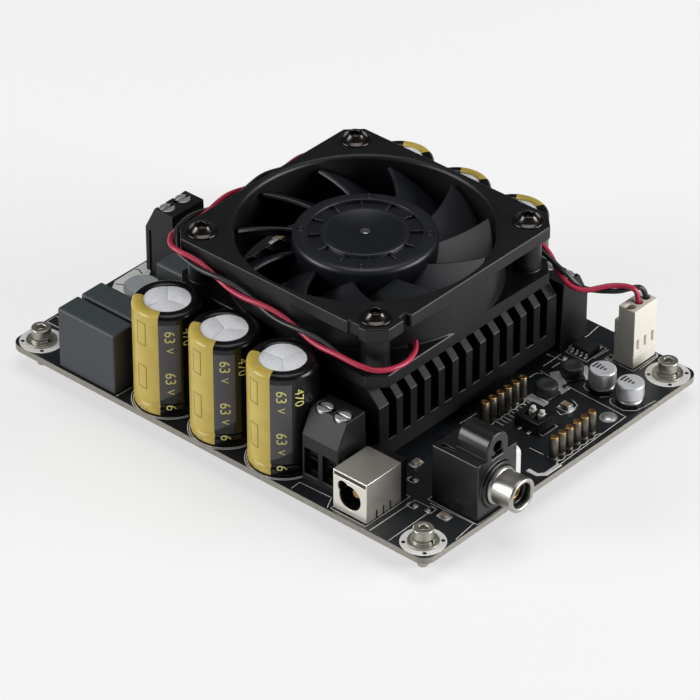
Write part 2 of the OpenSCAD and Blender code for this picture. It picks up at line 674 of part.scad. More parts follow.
module blade() {
    m = blade_steps + 1;
    n = blade_rows * m;
    points = [for (side = [-1, 1], i = [0 : blade_rows - 1], j = [0 : blade_steps]) blade_point(i, j, side)];
    function at(layer, i, j) = layer * n + i * m + j;
    skins = [for (i = [0 : blade_rows - 2], j = [0 : blade_steps - 1]) each concat(
        blade_quad(at(0, i, j), at(0, i, j + 1), at(0, i + 1, j + 1), at(0, i + 1, j)),
        blade_quad(at(1, i, j), at(1, i + 1, j), at(1, i + 1, j + 1), at(1, i, j + 1)))];
    edges = [for (i = [0 : blade_rows - 2]) each concat(
        blade_quad(at(0, i, 0), at(0, i + 1, 0), at(1, i + 1, 0), at(1, i, 0)),
        blade_quad(at(0, i, blade_steps), at(1, i, blade_steps),
            at(1, i + 1, blade_steps), at(0, i + 1, blade_steps)))];
    ends = [for (j = [0 : blade_steps - 1]) each concat(
        blade_quad(at(0, 0, j), at(1, 0, j), at(1, 0, j + 1), at(0, 0, j + 1)),
        blade_quad(at(0, blade_rows - 1, j), at(0, blade_rows - 1, j + 1),
            at(1, blade_rows - 1, j + 1), at(1, blade_rows - 1, j)))];
    polyhedron(points, concat(skins, edges, ends));
}

module hub() {
    edge_r = 1.4;
    ring_in = hub_r - 6.4;
    ring_out = hub_r - 3.4;
    groove = 0.6;
    arc = [for (a = [0:15:90]) [hub_r - edge_r + edge_r * cos(a), hub_top - edge_r + edge_r * sin(a)]];
    rotate_extrude()
        polygon(concat([[hub_r - hub_wall, hub_low], [hub_r, hub_low]], arc,
            [[ring_out, hub_top], [ring_out, hub_top - groove],
             [ring_in, hub_top - groove], [ring_in, hub_top],
            [0, hub_top], [0, hub_top - hub_roof_t + 0.6], [shaft_d / 2, hub_top - hub_roof_t + 0.6],
            [shaft_d / 2, hub_top - hub_roof_t - hub_boss_l], [hub_boss_r, hub_top - hub_roof_t - hub_boss_l],
            [hub_boss_r, hub_top - hub_roof_t], [hub_r - hub_wall, hub_top - hub_roof_t]]));
    for (k = [0:11])
        rotate([0, 0, k * 30]) translate([ring_in - 0.2, -0.3, hub_top - groove - 0.1])
            cube([ring_out - ring_in + 0.4, 0.6, groove]);
}

module impeller() {
    color("#2b2d31")
        at_cooler(fan_z) {
            hub();
            for (k = [0 : blade_n - 1]) rotate([0, 0, blade_phase + k * 360 / blade_n]) blade();
        }
}

module rotor_magnet() {
    low = hub_low + 0.4;
    color("#3a3a3c")
        at_cooler(fan_z + low) tube(magnet_r, magnet_r - magnet_t, hub_top - hub_roof_t - low - magnet_gap);
}

module rotor_shaft() {
    low = motor_plate_t + 0.3;
    color("#c8c8ca")
        at_cooler(fan_z + low) cylinder(d = shaft_d, h = hub_top - hub_roof_t + 0.6 - low);
}

module bearing_sleeve() {
    color("#b08d57")
        at_cooler(fan_z + motor_plate_t) tube(sleeve_r, shaft_d / 2 + shaft_gap, motor_top - motor_plate_t);
}

module stator() {
    stack = motor_top - 0.6 - stator_low;
    pole_r = magnet_r - magnet_t - air_gap;
    color("#7c5a3a")
        at_cooler(fan_z + stator_low)
            difference() {
                union() {
                    cylinder(r = tube_r + 2, h = stack);
                    intersection() {
                        cylinder(r = pole_r, h = stack);
                        for (k = [0:1]) rotate([0, 0, k * 90]) centred_box(2 * pole_r, 4, stack);
                    }
                    for (k = [0:1]) rotate([0, 0, k * 90])
                        difference() {
                            centred_box(2 * pole_r - 4, 7, stack);
                            translate([0, 0, -eps]) centred_box(2 * tube_r + 5, 8, stack + 2 * eps);
                        }
                }
                translate([0, 0, -eps]) cylinder(r = tube_r, h = stack + 2 * eps);
            }
}

module fan_driver_board() {
    color("#2f5d3a")
        at_cooler(fan_z + motor_plate_t) {
            tube(motor_plate_r - 3.5, tube_r + 0.1, driver_t);
            tube(tube_r + 1.6, tube_r + 0.1, stator_low - motor_plate_t);
        }
}

// A round lead: rings of points square to the route, joined by quads.
function unit(v) = v / norm(v);
function tangent(p, i) = unit(p[min(i + 1, len(p) - 1)] - p[max(i - 1, 0)]);
function across(v, t) = unit(v - (v * t) * t);

module lead(route, sides = 8) {
    n = len(route);
    normals = [for (i = 0, v = across([0, 0, 1], tangent(route, 0)); i < n;
        i = i + 1, v = i < n ? across(v, tangent(route, i)) : v) v];
    points = [for (i = [0 : n - 1], k = [0 : sides - 1])
        let (t = tangent(route, i), u = normals[i], w = cross(t, u), a = k * 360 / sides)
        route[i] + lead_d / 2 * (u * cos(a) + w * sin(a))];
    walls = [for (i = [0 : n - 2], k = [0 : sides - 1])
        let (k2 = (k + 1) % sides)
        each blade_quad(i * sides + k, (i + 1) * sides + k, (i + 1) * sides + k2, i * sides + k2)];
    polyhedron(points, concat([[for (k = [0 : sides - 1]) k]],
        [[for (k = [sides - 1 : -1 : 0]) (n - 1) * sides + k]], walls));
}

module fan_lead_red() {
    color("#b02a48") translate([0, 0, top_z]) lead(lead_red_route);
}

module fan_lead_black() {
    color("#202122") translate([0, 0, top_z]) lead(lead_black_route);
}

// Capacitors and inductors

module electrolytic() {
    r = cap_d / 2;
    rim = 1.3;
    foot = 1;
    groove_z = 2.8;
    groove = 0.5;
    lid_r = r - 2.7;
    lid_drop = 0.3;
    arc = [for (a = [0:15:90]) [r - rim + rim * cos(a), cap_h - rim + rim * sin(a)]];
    translate([0, 0, top_z])
        rotate_extrude()
            polygon(concat([[0, 0], [r - foot, 0], [r - foot * 0.3, foot * 0.3], [r, foot],
                [r, groove_z - 0.9], [r - groove, groove_z], [r, groove_z + 0.9]], arc,
                [[lid_r + lid_drop, cap_h], [lid_r, cap_h - lid_drop], [0, cap_h - lid_drop]]));
}

module capacitor_front(i) {
    color("#c3ad55") translate([cap_xs[i - 1], cap_rows[0], 0]) electrolytic();
}

module rear_capacitors() {
    color("#c3ad55")
        for (x = cap_xs) translate([x, cap_rows[1], 0]) electrolytic();
}

module film_box(l, w, h) {
    cut = 0.4;
    rotate([90, 0, 90]) translate([0, 0, -l / 2]) linear_extrude(l)
        polygon([[-w / 2, 0], [w / 2, 0], [w / 2, h - cut],
            [w / 2 - cut, h], [-w / 2 + cut, h], [-w / 2, h - cut]]);
}

module film_capacitors() {
    color("#3a3b3d")
        translate([0, 0, top_z]) {
            for (i = [0, 1]) translate([film_x, film_y + i * (film_w + film_gap), 0])
                film_box(film_l, film_w, film_h);
            translate(film_small_at) film_box(film_small[0], film_small[1], film_small[2]);
        }
}

module drum_inductor() {
    r = drum_d / 2;
    waist = 1.2;
    lip = 1.6;
    color("#6e7274")
        translate([drum_at[0], drum_at[1], top_z])
            rotate_extrude()
                polygon([[0, 0], [r, 0], [r, lip], [r - waist, lip + 0.6], [r - waist, drum_h - lip - 0.6],
                    [r, drum_h - lip], [r, drum_h - 0.5], [r - 0.5, drum_h], [0, drum_h]]);
}

// Rising-clamp terminals

module at_power() translate([power_x, power_y, top_z]) children();
module at_left() translate([left_x, left_y, top_z]) rotate([0, 0, -90]) children();
module at_rear() translate([rear_x, rear_y, top_z]) rotate([0, 0, 180]) children();
module at_pole(i) translate([(i - 1.5) * pole_pitch, 0, 0]) children();

module terminal_housing() {
    groove = [0.4, 0.7, 11];
    color("#2a2d2c")
        difference() {
            rotate([90, 0, 90]) translate([0, 0, -term_l / 2]) linear_extrude(term_l)
                polygon([[0, 0], [term_d, 0],
                    [term_top_back, term_h], [term_bevel_d, term_h], [0, term_bevel_z]]);
            for (i = [1, 2]) at_pole(i) {
                translate([-entry_w / 2, term_wall, cage_floor])
                    cube([entry_w, cavity_d - term_wall, cavity_top - cage_floor]);
                translate([-entry_w / 2, -eps, cage_floor + 0.3])
                    cube([entry_w, term_wall + 2 * eps, entry_h]);
                translate([0, screw_y, cavity_top - eps])
                    cylinder(d = clamp_shank_d + 0.6, h = clamp_seat_z - cavity_top + 2 * eps);
                translate([0, screw_y, clamp_seat_z]) cylinder(d = clamp_head_d + 0.4, h = term_h);
            }
            translate([term_l / 2 - groove[0], 1.2, -eps]) cube([groove[0] + eps, groove[1], groove[2]]);
            translate([0, screw_y, term_h - 1.2]) cylinder(d = 0.8, h = 2);
        }
}

module clamp_screw(i) {
    color("#c4c6c8")
        at_pole(i) translate([0, screw_y, 0])
            difference() {
                union() {
                    translate([0, 0, clamp_seat_z]) cylinder(d = clamp_head_d, h = clamp_head_h);
                    translate([0, 0, clamp_low])
                        cylinder(d = clamp_shank_d, h = clamp_seat_z - clamp_low + eps);
                }
                translate([0, 0, clamp_seat_z + clamp_head_h - 0.9])
                    centred_box(clamp_head_d + 1, 0.7, 1);
            }
}

module clamp_cage(i) {
    w = entry_w - 2 * cage_gap;
    window_h = cage_h - cage_bar - cage_head;
    color("#b89a5e")
        at_pole(i) translate([0, cage_y, cage_z])
            difference() {
                translate([-w / 2, 0, 0]) cube([w, cage_d, cage_h]);
                translate([-w / 2 + cage_side, -eps, cage_bar])
                    cube([w - 2 * cage_side, cage_d + 2 * eps, window_h]);
                translate([0, screw_y - cage_y, cage_h - cage_head - eps])
                    cylinder(d = clamp_shank_d + 2 * thread_gap, h = cage_head + 2 * eps);
            }
}

module contact_bar(i) {
    bar_w = entry_w - 2 * cage_gap - 2 * cage_side - 0.4;
    leg_t = 0.6;
    at_pole(i) {
        translate([-bar_w / 2, term_wall + 0.1, bar_z]) cube([bar_w, cavity_d - term_wall - 0.1, bar_t]);
        translate([-bar_w / 2, cavity_d - leg_t, cage_floor])
            cube([bar_w, leg_t, bar_z - cage_floor + bar_t]);
    }
}

module terminal_contacts() {
    color("#c9c4b0")
        for (i = [1, 2]) {
            at_power() contact_bar(i);
            at_left() contact_bar(i);
            at_rear() contact_bar(i);
        }
}

// Power jack, its mouth facing -Y

module at_jack() translate([jack_x, jack_y, top_z]) children();

module jack_spring_slot(grow) {
    translate([-1.9, 0, jack_axis_z + 2]) rotate([-90, 0, 0]) cylinder(r = 1.4 + grow, h = spring_l);
}

module dc_jack_housing() {
    w = jack_w - 2 * sheet_t;
    strip_h = 1;
    color("#202123")
        at_jack()
            difference() {
                union() {
                    translate([-w / 2, sheet_t, 0]) cube([w, jack_d - sheet_t, jack_h - sheet_t]);
                    translate([-w / 2, 0, jack_h - sheet_t - strip_h]) cube([w, sheet_t + eps, strip_h]);
                }
                translate([0, -eps, jack_axis_z]) rotate([-90, 0, 0])
                    cylinder(d = jack_bore, h = jack_bore_l);
                translate([0, sheet_t - eps, 0]) jack_spring_slot(0);
            }
}

module dc_jack_shield() {
    plate_h = jack_h - sheet_t - 1;
    color("#c8c6c0")
        at_jack()
            difference() {
                union() {
                    translate([-jack_w / 2, 0, 0.2]) cube([jack_w, sheet_t, plate_h - 0.2]);
                    for (s = [0, 1]) translate([-jack_w / 2 + s * (jack_w - sheet_t), 0, 0.2])
                        cube([sheet_t, shield_d, jack_h - 0.2]);
                    translate([-jack_w / 2, 0, jack_h - sheet_t]) cube([jack_w, shield_d, sheet_t]);
                }
                translate([0, -eps, jack_axis_z]) rotate([-90, 0, 0])
                    cylinder(d = jack_bore, h = sheet_t + 2 * eps);
                translate([0, -1, 0]) jack_spring_slot(0.1);
                for (s = [-1, 1], k = [0:2])
                    translate([s * (jack_w / 2) - 0.5, 3 + k * 2.2, 0]) cube([1, 0.5, 2.2]);
            }
}

module dc_jack_contacts() {
    pin_y = 2;
    spring_y = 1.2;
    color("#a8834a")
        at_jack() {
            translate([0, pin_y, jack_axis_z]) rotate([-90, 0, 0])
                cylinder(d = jack_pin_d, h = jack_bore_l - pin_y - eps);
            translate([-2.4, spring_y, jack_axis_z + 2.4])
                cube([1, sheet_t + spring_l - spring_y - 2 * eps, 0.4]);
        }
}

// Phono jack, its barrel pointing +X

module at_phono() translate([phono_x, phono_y, top_z]) children();
module along_barrel(x) translate([x, 0, phono_axis_z]) rotate([0, 90, 0]) children();

module phono_body() {
    ridge_z = phono_h + 2.1;
    core_r = barrel_d / 2 - 0.9;
    collar_r = phono_w / 2 - 0.9;
    color("#232528")
        at_phono()
            difference() {
                union() {
                    translate([-phono_w, -phono_w / 2, 0]) cube([phono_w, phono_w, phono_h]);
                    translate([-ridge_l, -ridge_r, phono_h - eps])
                        cube([ridge_l, 2 * ridge_r, ridge_z - phono_h]);
                    translate([-ridge_l, 0, ridge_z]) rotate([0, 90, 0]) cylinder(r = ridge_r, h = ridge_l);
                    along_barrel(-eps) tube(collar_r, barrel_d / 2 + 0.5, 0.8);
                    along_barrel(-eps) cylinder(r = core_r, h = barrel_l - 1.6);
                }
                translate([-4, 0, ridge_z]) rotate([0, 90, 0]) cylinder(r = 1.3, h = 5);
                translate([-1, -1.8, phono_h - 0.4]) cube([2, 3.6, 1]);
                translate([-11, -phono_w / 2 + 1.2, phono_h - 0.8]) cube([3.4, 0.9, 2]);
                along_barrel(0.6) cylinder(r = core_r - 1, h = barrel_l);
            }
}

module phono_barrel() {
    bore_r = barrel_d / 2 - 0.85;
    color("#cfccc6")
        at_phono() along_barrel(0)
            difference() {
                union() {
                    cylinder(d = barrel_d + 0.9, h = 1.6);
                    cylinder(d = barrel_d, h = barrel_l);
                }
                translate([0, 0, -eps]) cylinder(r = bore_r, h = barrel_l + 2 * eps);
            }
}

module phono_contact() {
    r = barrel_d / 2 - 1.95;
    color("#b6975a")
        at_phono() along_barrel(0.6) tube(r, r - 0.5, barrel_l - 3);
}

module phono_side_block() {
    w = 1.9;
    h = 11.6;
    l = 5;
    color("#dedcd8")
        at_phono() translate([-0.4 - l, phono_w / 2, 0]) {
            cube([l, w, h - 1.5]);
            translate([0, 0, h - 1.5 - eps]) cube([l - 1.5, w, 1.5]);
            translate([l - 1.5, 0, h - 1.5]) rotate([-90, 0, 0]) cylinder(r = 1.5, h = w);
        }
}

// Headers and the fan connector

module at_fan_plug() translate([fan_plug_at[0], fan_plug_at[1], top_z]) children();
module at_fan_pins() {
    for (i = [0 : fan_pins - 1]) translate([0, (i - (fan_pins - 1) / 2) * pin_pitch, 0]) children();
}

module fan_header() {
    color("#d9d5cb")
        at_fan_plug()
            difference() {
                union() {
                    translate([-plug_x / 2 - lock_wall_t, -plug_y / 2, 0])
                        cube([plug_x + lock_wall_t, plug_y, plug_low]);
                    translate([-plug_x / 2 - lock_wall_t, -plug_y / 2, 0])
                        cube([lock_wall_t, plug_y, lock_wall_h]);
                }
                at_fan_pins() translate([0, 0, -eps]) centred_box(0.7, 0.7, plug_low + 2 * eps);
            }
}

module fan_header_pins() {
    color("#cbb26a") at_fan_plug() at_fan_pins() centred_box(0.64, 0.64, 10.5);
}

module fan_plug() {
    color("#e4e0d6")
        at_fan_plug()
            difference() {
                translate([-plug_x / 2, -plug_y / 2, plug_low]) cube([plug_x, plug_y, plug_top - plug_low]);
                at_fan_pins() {
                    translate([0, 0, plug_low - eps]) centred_box(1, 1, 8);
                    translate([0, 0, 11]) cylinder(d = 2, h = plug_top);
                    translate([plug_x / 2 - 0.5, -0.4, plug_low + 1.2]) cube([1, 0.8, 2.6]);
                }
            }
}

module module_header_pins() {
    r = header_pin_d / 2;
    post_h = header_pin_h - header_tip_d * 0.6;
    color("#b08a45")
        for (p = pin_leads) translate([p[0], p[1], top_z]) {
            rotate_extrude()
                polygon([[0, 0], [r, 0], [r, post_h - 0.4], [r - 0.3, post_h], [0, post_h]]);
            translate([0, 0, header_pin_h - header_tip_d / 2]) sphere(d = header_tip_d);
        }
}

// Surface-mount parts

module driver_chip() {
    body = [5, 4, 1.5];
    lead_pitch = 1.27;
    color("#2c2d2f")
        translate([driver_at[0], driver_at[1], top_z]) {
            translate([0, 0, 0.1]) centred_box(body[0], body[1], body[2]);
            for (s = [-1, 1], i = [-1.5:1.5])
                translate([i * lead_pitch - 0.2, s > 0 ? body[1] / 2 - 0.1 : -body[1] / 2 - 1, 0])
                    cube([0.4, 1.1, 0.3]);
        }
}

module can_capacitors() {
    base_w = can_d + 0.3;
    base_h = 1;
    r = can_d / 2;
    color("#c4c4c4")
        for (p = can_at) translate([p[0], p[1], top_z]) {
            linear_extrude(base_h)
                polygon([for (q = [[1, 0.6], [0.6, 1], [-1, 1], [-1, -1], [0.6, -1], [1, -0.6]])
                    q * base_w / 2]);
            rotate_extrude()
                polygon([[0, base_h - eps],
                    [r - 0.3, base_h - eps], [r - 0.5, base_h + 0.5], [r, base_h + 0.9],
                    [r, can_h - 0.5], [r - 0.5, can_h], [0, can_h]]);
        }
}

module chokes() {
    r = choke_d / 2;
    foot_h = 0.7;
    color("#333436")
        for (p = choke_at) translate([p[0], p[1], top_z]) {
            centred_box(choke_d + 0.6, choke_d, foot_h);
            rotate_extrude()
                polygon([[0, foot_h - eps],
                    [r - 0.5, foot_h - eps], [r - 0.5, foot_h + 0.4], [r, foot_h + 0.8],
                    [r, choke_h - 0.4], [r - 0.4, choke_h], [0, choke_h]]);
        }
}

module chip_parts() {
    color("#8d7f6c")
        for (s = [-1, 1], c = s > 0 ? right_chips : left_chips)
            translate([s * (edge_x - c[0]), c[1], top_z]) rotate([0, 0, c[5]]) centred_box(c[2], c[3], c[4]);
}

// Slide switch: each slider runs along Y in a slot of the body

module at_switch() translate([switch_at[0], switch_at[1], top_z]) children();
slot_deep = 1.4;
slot_l = slider_l + switch_travel + 2 * slider_gap;

module switch_body() {
    lead_w = 0.8;
    color("#1f2022")
        at_switch() {
            difference() {
                translate([0, 0, 0.1]) centred_box(switch_x, switch_y, switch_h - 0.1);
                for (i = [1, 2]) translate([(i - 1.5) * pin_pitch, 0, switch_h - slot_deep])
                    centred_box(slider_w + 2 * slider_gap, slot_l, slot_deep + eps);
            }
            for (i = [1, 2], s = [-1, 1])
                translate([(i - 1.5) * pin_pitch - lead_w / 2,
                    s > 0 ? switch_y / 2 - 0.1 : -switch_y / 2 - 1.1, 0])
                    cube([lead_w, 1.2, 0.4]);
        }
}

module switch_slider(i) {
    knob_h = 1;
    color("#e6e4de")
        at_switch()
            translate([(i - 1.5) * pin_pitch, slot_l / 2 - slider_gap - slider_l / 2,
                switch_h - slot_deep + 0.05]) {
            centred_box(slider_w, slider_l, slot_deep - 0.15);
            translate([0, 0, slot_deep - 0.2]) cylinder(d = slider_w - 0.2, h = knob_h);
        }
}

circuit_board();
solder_joints();
corner_screws();
corner_washers();
corner_nuts();
amplifier_chip();
thermal_pad();
heatsink();
heatsink_screws();
fan_frame();
fan_screws();
impeller();
rotor_magnet();
rotor_shaft();
bearing_sleeve();
stator();
fan_driver_board();
fan_lead_red();
fan_lead_black();
capacitor_front(1);  // capacitor_front_1
capacitor_front(2);  // capacitor_front_2
capacitor_front(3);  // capacitor_front_3
rear_capacitors();
film_capacitors();
drum_inductor();
terminal_contacts();
at_power() terminal_housing();  // power_terminal
at_power() clamp_screw(1);  // power_clamp_screw_1
at_power() clamp_screw(2);  // power_clamp_screw_2
at_power() clamp_cage(1);  // power_cage_1
at_power() clamp_cage(2);  // power_cage_2
at_left() terminal_housing();  // left_terminal
at_left() clamp_screw(1);  // left_clamp_screw_1
at_left() clamp_screw(2);  // left_clamp_screw_2
at_left() clamp_cage(1);  // left_cage_1
at_left() clamp_cage(2);  // left_cage_2
at_rear() terminal_housing();  // rear_terminal
at_rear() clamp_screw(1);  // rear_clamp_screw_1
at_rear() clamp_screw(2);  // rear_clamp_screw_2
at_rear() clamp_cage(1);  // rear_cage_1
at_rear() clamp_cage(2);  // rear_cage_2
dc_jack_housing();
dc_jack_shield();
dc_jack_contacts();
phono_body();
phono_barrel();
phono_contact();
phono_side_block();
fan_header();
fan_header_pins();
fan_plug();
module_header_pins();
driver_chip();
can_capacitors();
chokes();
chip_parts();
switch_body();
switch_slider(1);  // switch_slider_1
switch_slider(2);  // switch_slider_2
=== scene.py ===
import json
import math

import bpy
from mathutils import Matrix, Vector


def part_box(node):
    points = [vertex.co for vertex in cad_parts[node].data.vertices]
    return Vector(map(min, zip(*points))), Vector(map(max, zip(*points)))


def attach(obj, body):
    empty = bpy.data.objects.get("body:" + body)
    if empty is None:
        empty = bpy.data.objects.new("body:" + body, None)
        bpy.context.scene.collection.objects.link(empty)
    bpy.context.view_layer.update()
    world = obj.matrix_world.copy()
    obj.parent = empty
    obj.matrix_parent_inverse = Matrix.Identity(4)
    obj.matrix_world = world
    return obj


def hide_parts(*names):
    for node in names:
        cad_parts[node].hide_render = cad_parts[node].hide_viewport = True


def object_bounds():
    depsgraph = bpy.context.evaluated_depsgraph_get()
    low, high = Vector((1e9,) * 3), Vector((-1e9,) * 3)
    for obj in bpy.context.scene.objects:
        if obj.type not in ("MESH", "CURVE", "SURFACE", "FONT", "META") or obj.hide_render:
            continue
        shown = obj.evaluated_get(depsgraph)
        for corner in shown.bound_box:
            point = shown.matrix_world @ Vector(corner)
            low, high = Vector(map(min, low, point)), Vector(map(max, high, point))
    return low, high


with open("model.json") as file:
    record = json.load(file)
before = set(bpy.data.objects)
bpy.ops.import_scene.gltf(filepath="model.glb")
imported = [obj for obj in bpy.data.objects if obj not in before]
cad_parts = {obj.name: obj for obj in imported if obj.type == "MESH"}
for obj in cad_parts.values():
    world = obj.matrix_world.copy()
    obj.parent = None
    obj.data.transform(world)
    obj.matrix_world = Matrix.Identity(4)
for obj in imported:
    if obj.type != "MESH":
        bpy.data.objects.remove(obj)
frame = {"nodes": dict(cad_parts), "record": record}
cad_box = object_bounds()
scene = bpy.context.scene
nodes = frame["nodes"]
record = frame["record"]
body_of = {node: body for body, members in record["behaviour"]["bodies"].items() for node in members}

MM = 0.001
BOARD_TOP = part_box("circuit_board")[1].z


# Shared steps of modelling

def only(obj):
    """Selects one object and makes it the active one."""
    bpy.ops.object.select_all(action="DESELECT")
    obj.select_set(True)
    bpy.context.view_layer.objects.active = obj


def start_edit(obj, pick="SELECT"):
    only(obj)
    bpy.ops.object.mode_set(mode="EDIT")
    bpy.ops.mesh.select_all(action=pick)


def end_edit():
    bpy.ops.object.mode_set(mode="OBJECT")


def merge_points(obj, outwards=True):
    """Merges doubled points and turns the faces outwards."""
    start_edit(obj)
    bpy.ops.mesh.remove_doubles(threshold=1e-6)
    if outwards:
        bpy.ops.mesh.normals_make_consistent(inside=False)
    end_edit()


def apply_modifiers(obj):
    only(obj)
    for modifier in list(obj.modifiers):
        bpy.ops.object.modifier_apply(modifier=modifier.name)


def smooth(obj, angle=35):
    only(obj)
    bpy.ops.object.shade_smooth_by_angle(angle=math.radians(angle))


def bevelled(obj, width, segments=2, angle=30):
    """Rounds the sharp edges by a width in mm and keeps the flat faces flat in the light."""
    bevel = obj.modifiers.new("edge", "BEVEL")
    bevel.width = width * MM
    bevel.segments = segments
    bevel.limit_method = "ANGLE"
    bevel.angle_limit = math.radians(angle)
    bevel.use_clamp_overlap = False
    flat = obj.modifiers.new("flat", "WEIGHTED_NORMAL")
    flat.keep_sharp = True
    smooth(obj, angle)
    apply_modifiers(obj)


def set_down(obj):
    """Puts an object's place, turn and size into its mesh."""
    only(obj)
    bpy.ops.object.transform_apply(location=True, rotation=True, scale=True)


def paint(obj, *materials):
    obj.data.materials.clear()
    for material in materials:
        obj.data.materials.append(material)


def paint_faces(obj, material, test):
    """Gives a further material to the faces whose centre and normal pass a test."""
    obj.data.materials.append(material)
    for face in obj.data.polygons:
        if test(face.center, face.normal):
            face.material_index = len(obj.data.materials) - 1


def copy_at(obj, name, place=(0, 0, 0), turn=0, size=(1, 1, 1)):
    """A copy of a piece with its own mesh, sized, turned about Z and moved, in mm."""
    mesh = obj.data.copy()
    turning = Matrix.Rotation(math.radians(turn), 4, "Z") @ Matrix.Diagonal((*size, 1))
    mesh.transform(Matrix.Translation(Vector(place) * MM) @ turning)
    twin = bpy.data.objects.new(name, mesh)
    scene.collection.objects.link(twin)
    return twin


def drop(*objects):
    for obj in objects:
        bpy.data.objects.remove(obj)


def joined(name, parts):
    only(parts[0])
    for part in parts[1:]:
        part.select_set(True)
    bpy.ops.object.join()
    parts[0].name = name
    return parts[0]


def stands_for(obj, *names):
    """Lets a finished piece ride, and take its slot, with the nodes that it shows."""
    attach(obj, body_of[names[0]])
    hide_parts(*names)


def solids_of(node):
    """Boxes of a node's separate solids, in mm, from the left to the right."""
    spare = bpy.data.objects.new("spare", nodes[node].data.copy())
    scene.collection.objects.link(spare)
    merge_points(spare, outwards=False)
    start_edit(spare)
    bpy.ops.mesh.separate(type="LOOSE")
    end_edit()
    parts = list(bpy.context.selected_objects)
    boxes = []
    for part in parts:
        spots = [point.co / MM for point in part.data.vertices]
        low = Vector([min(spot[k] for spot in spots) for k in range(3)])
        high = Vector([max(spot[k] for spot in spots) for k in range(3)])
        boxes.append((low, high))
    drop(*parts)
    return sorted(boxes, key=lambda box: (round(box[0].x, 2), round(box[0].y, 2)))


def turned(name, profile, steps=64):
    """A turned piece: a point drawn along (radius, height) in mm and spun round Z."""
    bpy.ops.object.select_all(action="DESELECT")
    bpy.ops.mesh.primitive_plane_add(size=MM)
    obj = bpy.context.object
    obj.name = name
    start_edit(obj)
    bpy.ops.mesh.merge(type="CENTER")
    bpy.ops.transform.translate(value=(profile[0][0] * MM, 0, profile[0][1] * MM))
    for (r0, z0), (r1, z1) in zip(profile, profile[1:]):
        step = ((r1 - r0) * MM, 0, (z1 - z0) * MM)
        bpy.ops.mesh.extrude_region_move(TRANSFORM_OT_translate={"value": step})
    bpy.ops.mesh.select_all(action="SELECT")
    bpy.ops.mesh.spin(steps=steps, angle=math.tau, center=(0, 0, 0), axis=(0, 0, 1))
    end_edit()
    merge_points(obj)
    return obj


def arc(cx, cz, r, first, last, steps=6):
    """Points of a round stretch of a profile."""
    angles = [math.radians(first + (last - first) * i / steps) for i in range(steps + 1)]
    return [(cx + r * math.cos(a), cz + r * math.sin(a)) for a in angles]


def softened(node, width, *materials, segments=2, angle=30):
    """A copy of a node's solid with moulded or deburred edges."""
    obj = bpy.data.objects.new(node + "_finished", nodes[node].data.copy())
    scene.collection.objects.link(obj)
    start_edit(obj)
    bpy.ops.mesh.remove_doubles(threshold=1e-6)
    bpy.ops.mesh.dissolve_limited(angle_limit=math.radians(1))
    end_edit()
    bevelled(obj, width, segments, angle)
    paint(obj, *materials)
    stands_for(obj, node)
    return obj


def block(name, size, place, width, segments=2):
    """A moulded block: a cube drawn to size in mm, its base at the place, with rounded edges."""
    bpy.ops.object.select_all(action="DESELECT")
    bpy.ops.mesh.primitive_cube_add(size=1)
    obj = bpy.context.object
    obj.name = name
    obj.scale = Vector(size) * MM
    obj.location = (Vector(place) + Vector((0, 0, size[2] / 2))) * MM
    set_down(obj)
    bevelled(obj, width, segments)
    return obj


# Materials

def srgb(code, alpha=1.0):
    """A hex colour as linear light."""
    parts = [int(code[i:i + 2], 16) / 255 for i in (1, 3, 5)]
    return (*[c / 12.92 if c <= 0.04045 else ((c + 0.055) / 1.055) ** 2.4 for c in parts], alpha)


def add(tree, kind, links=(), values=(), **fields):
    """Adds a node, sets its fields and sockets, and links its inputs."""
    node = tree.nodes.new(kind)
    for field, value in fields.items():
        setattr(node, field, value)
    for socket, value in dict(values).items():
        node.inputs[socket].default_value = value
    for socket, source in dict(links).items():
        tree.links.new(source, node.inputs[socket])
    return node


def new_material(name, **sockets):
    material = bpy.data.materials.new(name)
    material.use_nodes = True
    shader = material.node_tree.nodes["Principled BSDF"]
    for socket, value in sockets.items():
        shader.inputs[socket.replace("_", " ")].default_value = value
    return material, material.node_tree, shader


def per_mm(size):
    """Noise scale for grains of a size in mm."""
    return 1 / (size * MM)


def mottled(material, dark, light, size, rough, grain, relief):
    """Clouds of two tones, a roughness that varies with them, and a fine raised grain."""
    tree = material.node_tree
    shader = tree.nodes["Principled BSDF"]
    place = add(tree, "ShaderNodeTexCoord").outputs["Object"]
    cloud = add(tree, "ShaderNodeTexNoise", {"Vector": place}, {"Scale": per_mm(size), "Detail": 4.0})
    tone = add(tree, "ShaderNodeMix", {0: cloud.outputs[0]}, {6: srgb(dark), 7: srgb(light)},
               data_type="RGBA")
    gloss = add(tree, "ShaderNodeMapRange", {0: cloud.outputs[0]}, {3: rough[0], 4: rough[1]})
    grit = add(tree, "ShaderNodeTexNoise", {"Vector": place}, {"Scale": per_mm(grain), "Detail": 2.0})
    bump = add(tree, "ShaderNodeBump", {"Height": grit.outputs[0]},
               {"Strength": relief, "Distance": 0.02 * MM})
    tree.links.new(tone.outputs[2], shader.inputs["Base Color"])
    tree.links.new(gloss.outputs[0], shader.inputs["Roughness"])
    tree.links.new(bump.outputs[0], shader.inputs["Normal"])
    return material


def plastic(name, dark, light, rough, grain=0.35, relief=0.25, size=6, shine=0.5):
    """Moulded plastic: two close tones and a spark-eroded grain, drawn coarser than the real 0.05 mm."""
    material = new_material(name, IOR=1.5, Specular_IOR_Level=shine)[0]
    return mottled(material, dark, light, size, rough, grain, relief)


def metal(name, dark, light, rough, grain=0.5, relief=0.08, size=3, bare=1.0):
    """Metal: small differences of tone and gloss, and a faint ripple; an oxide or film makes it less bare."""
    return mottled(new_material(name, Metallic=bare)[0], dark, light, size, rough, grain, relief)


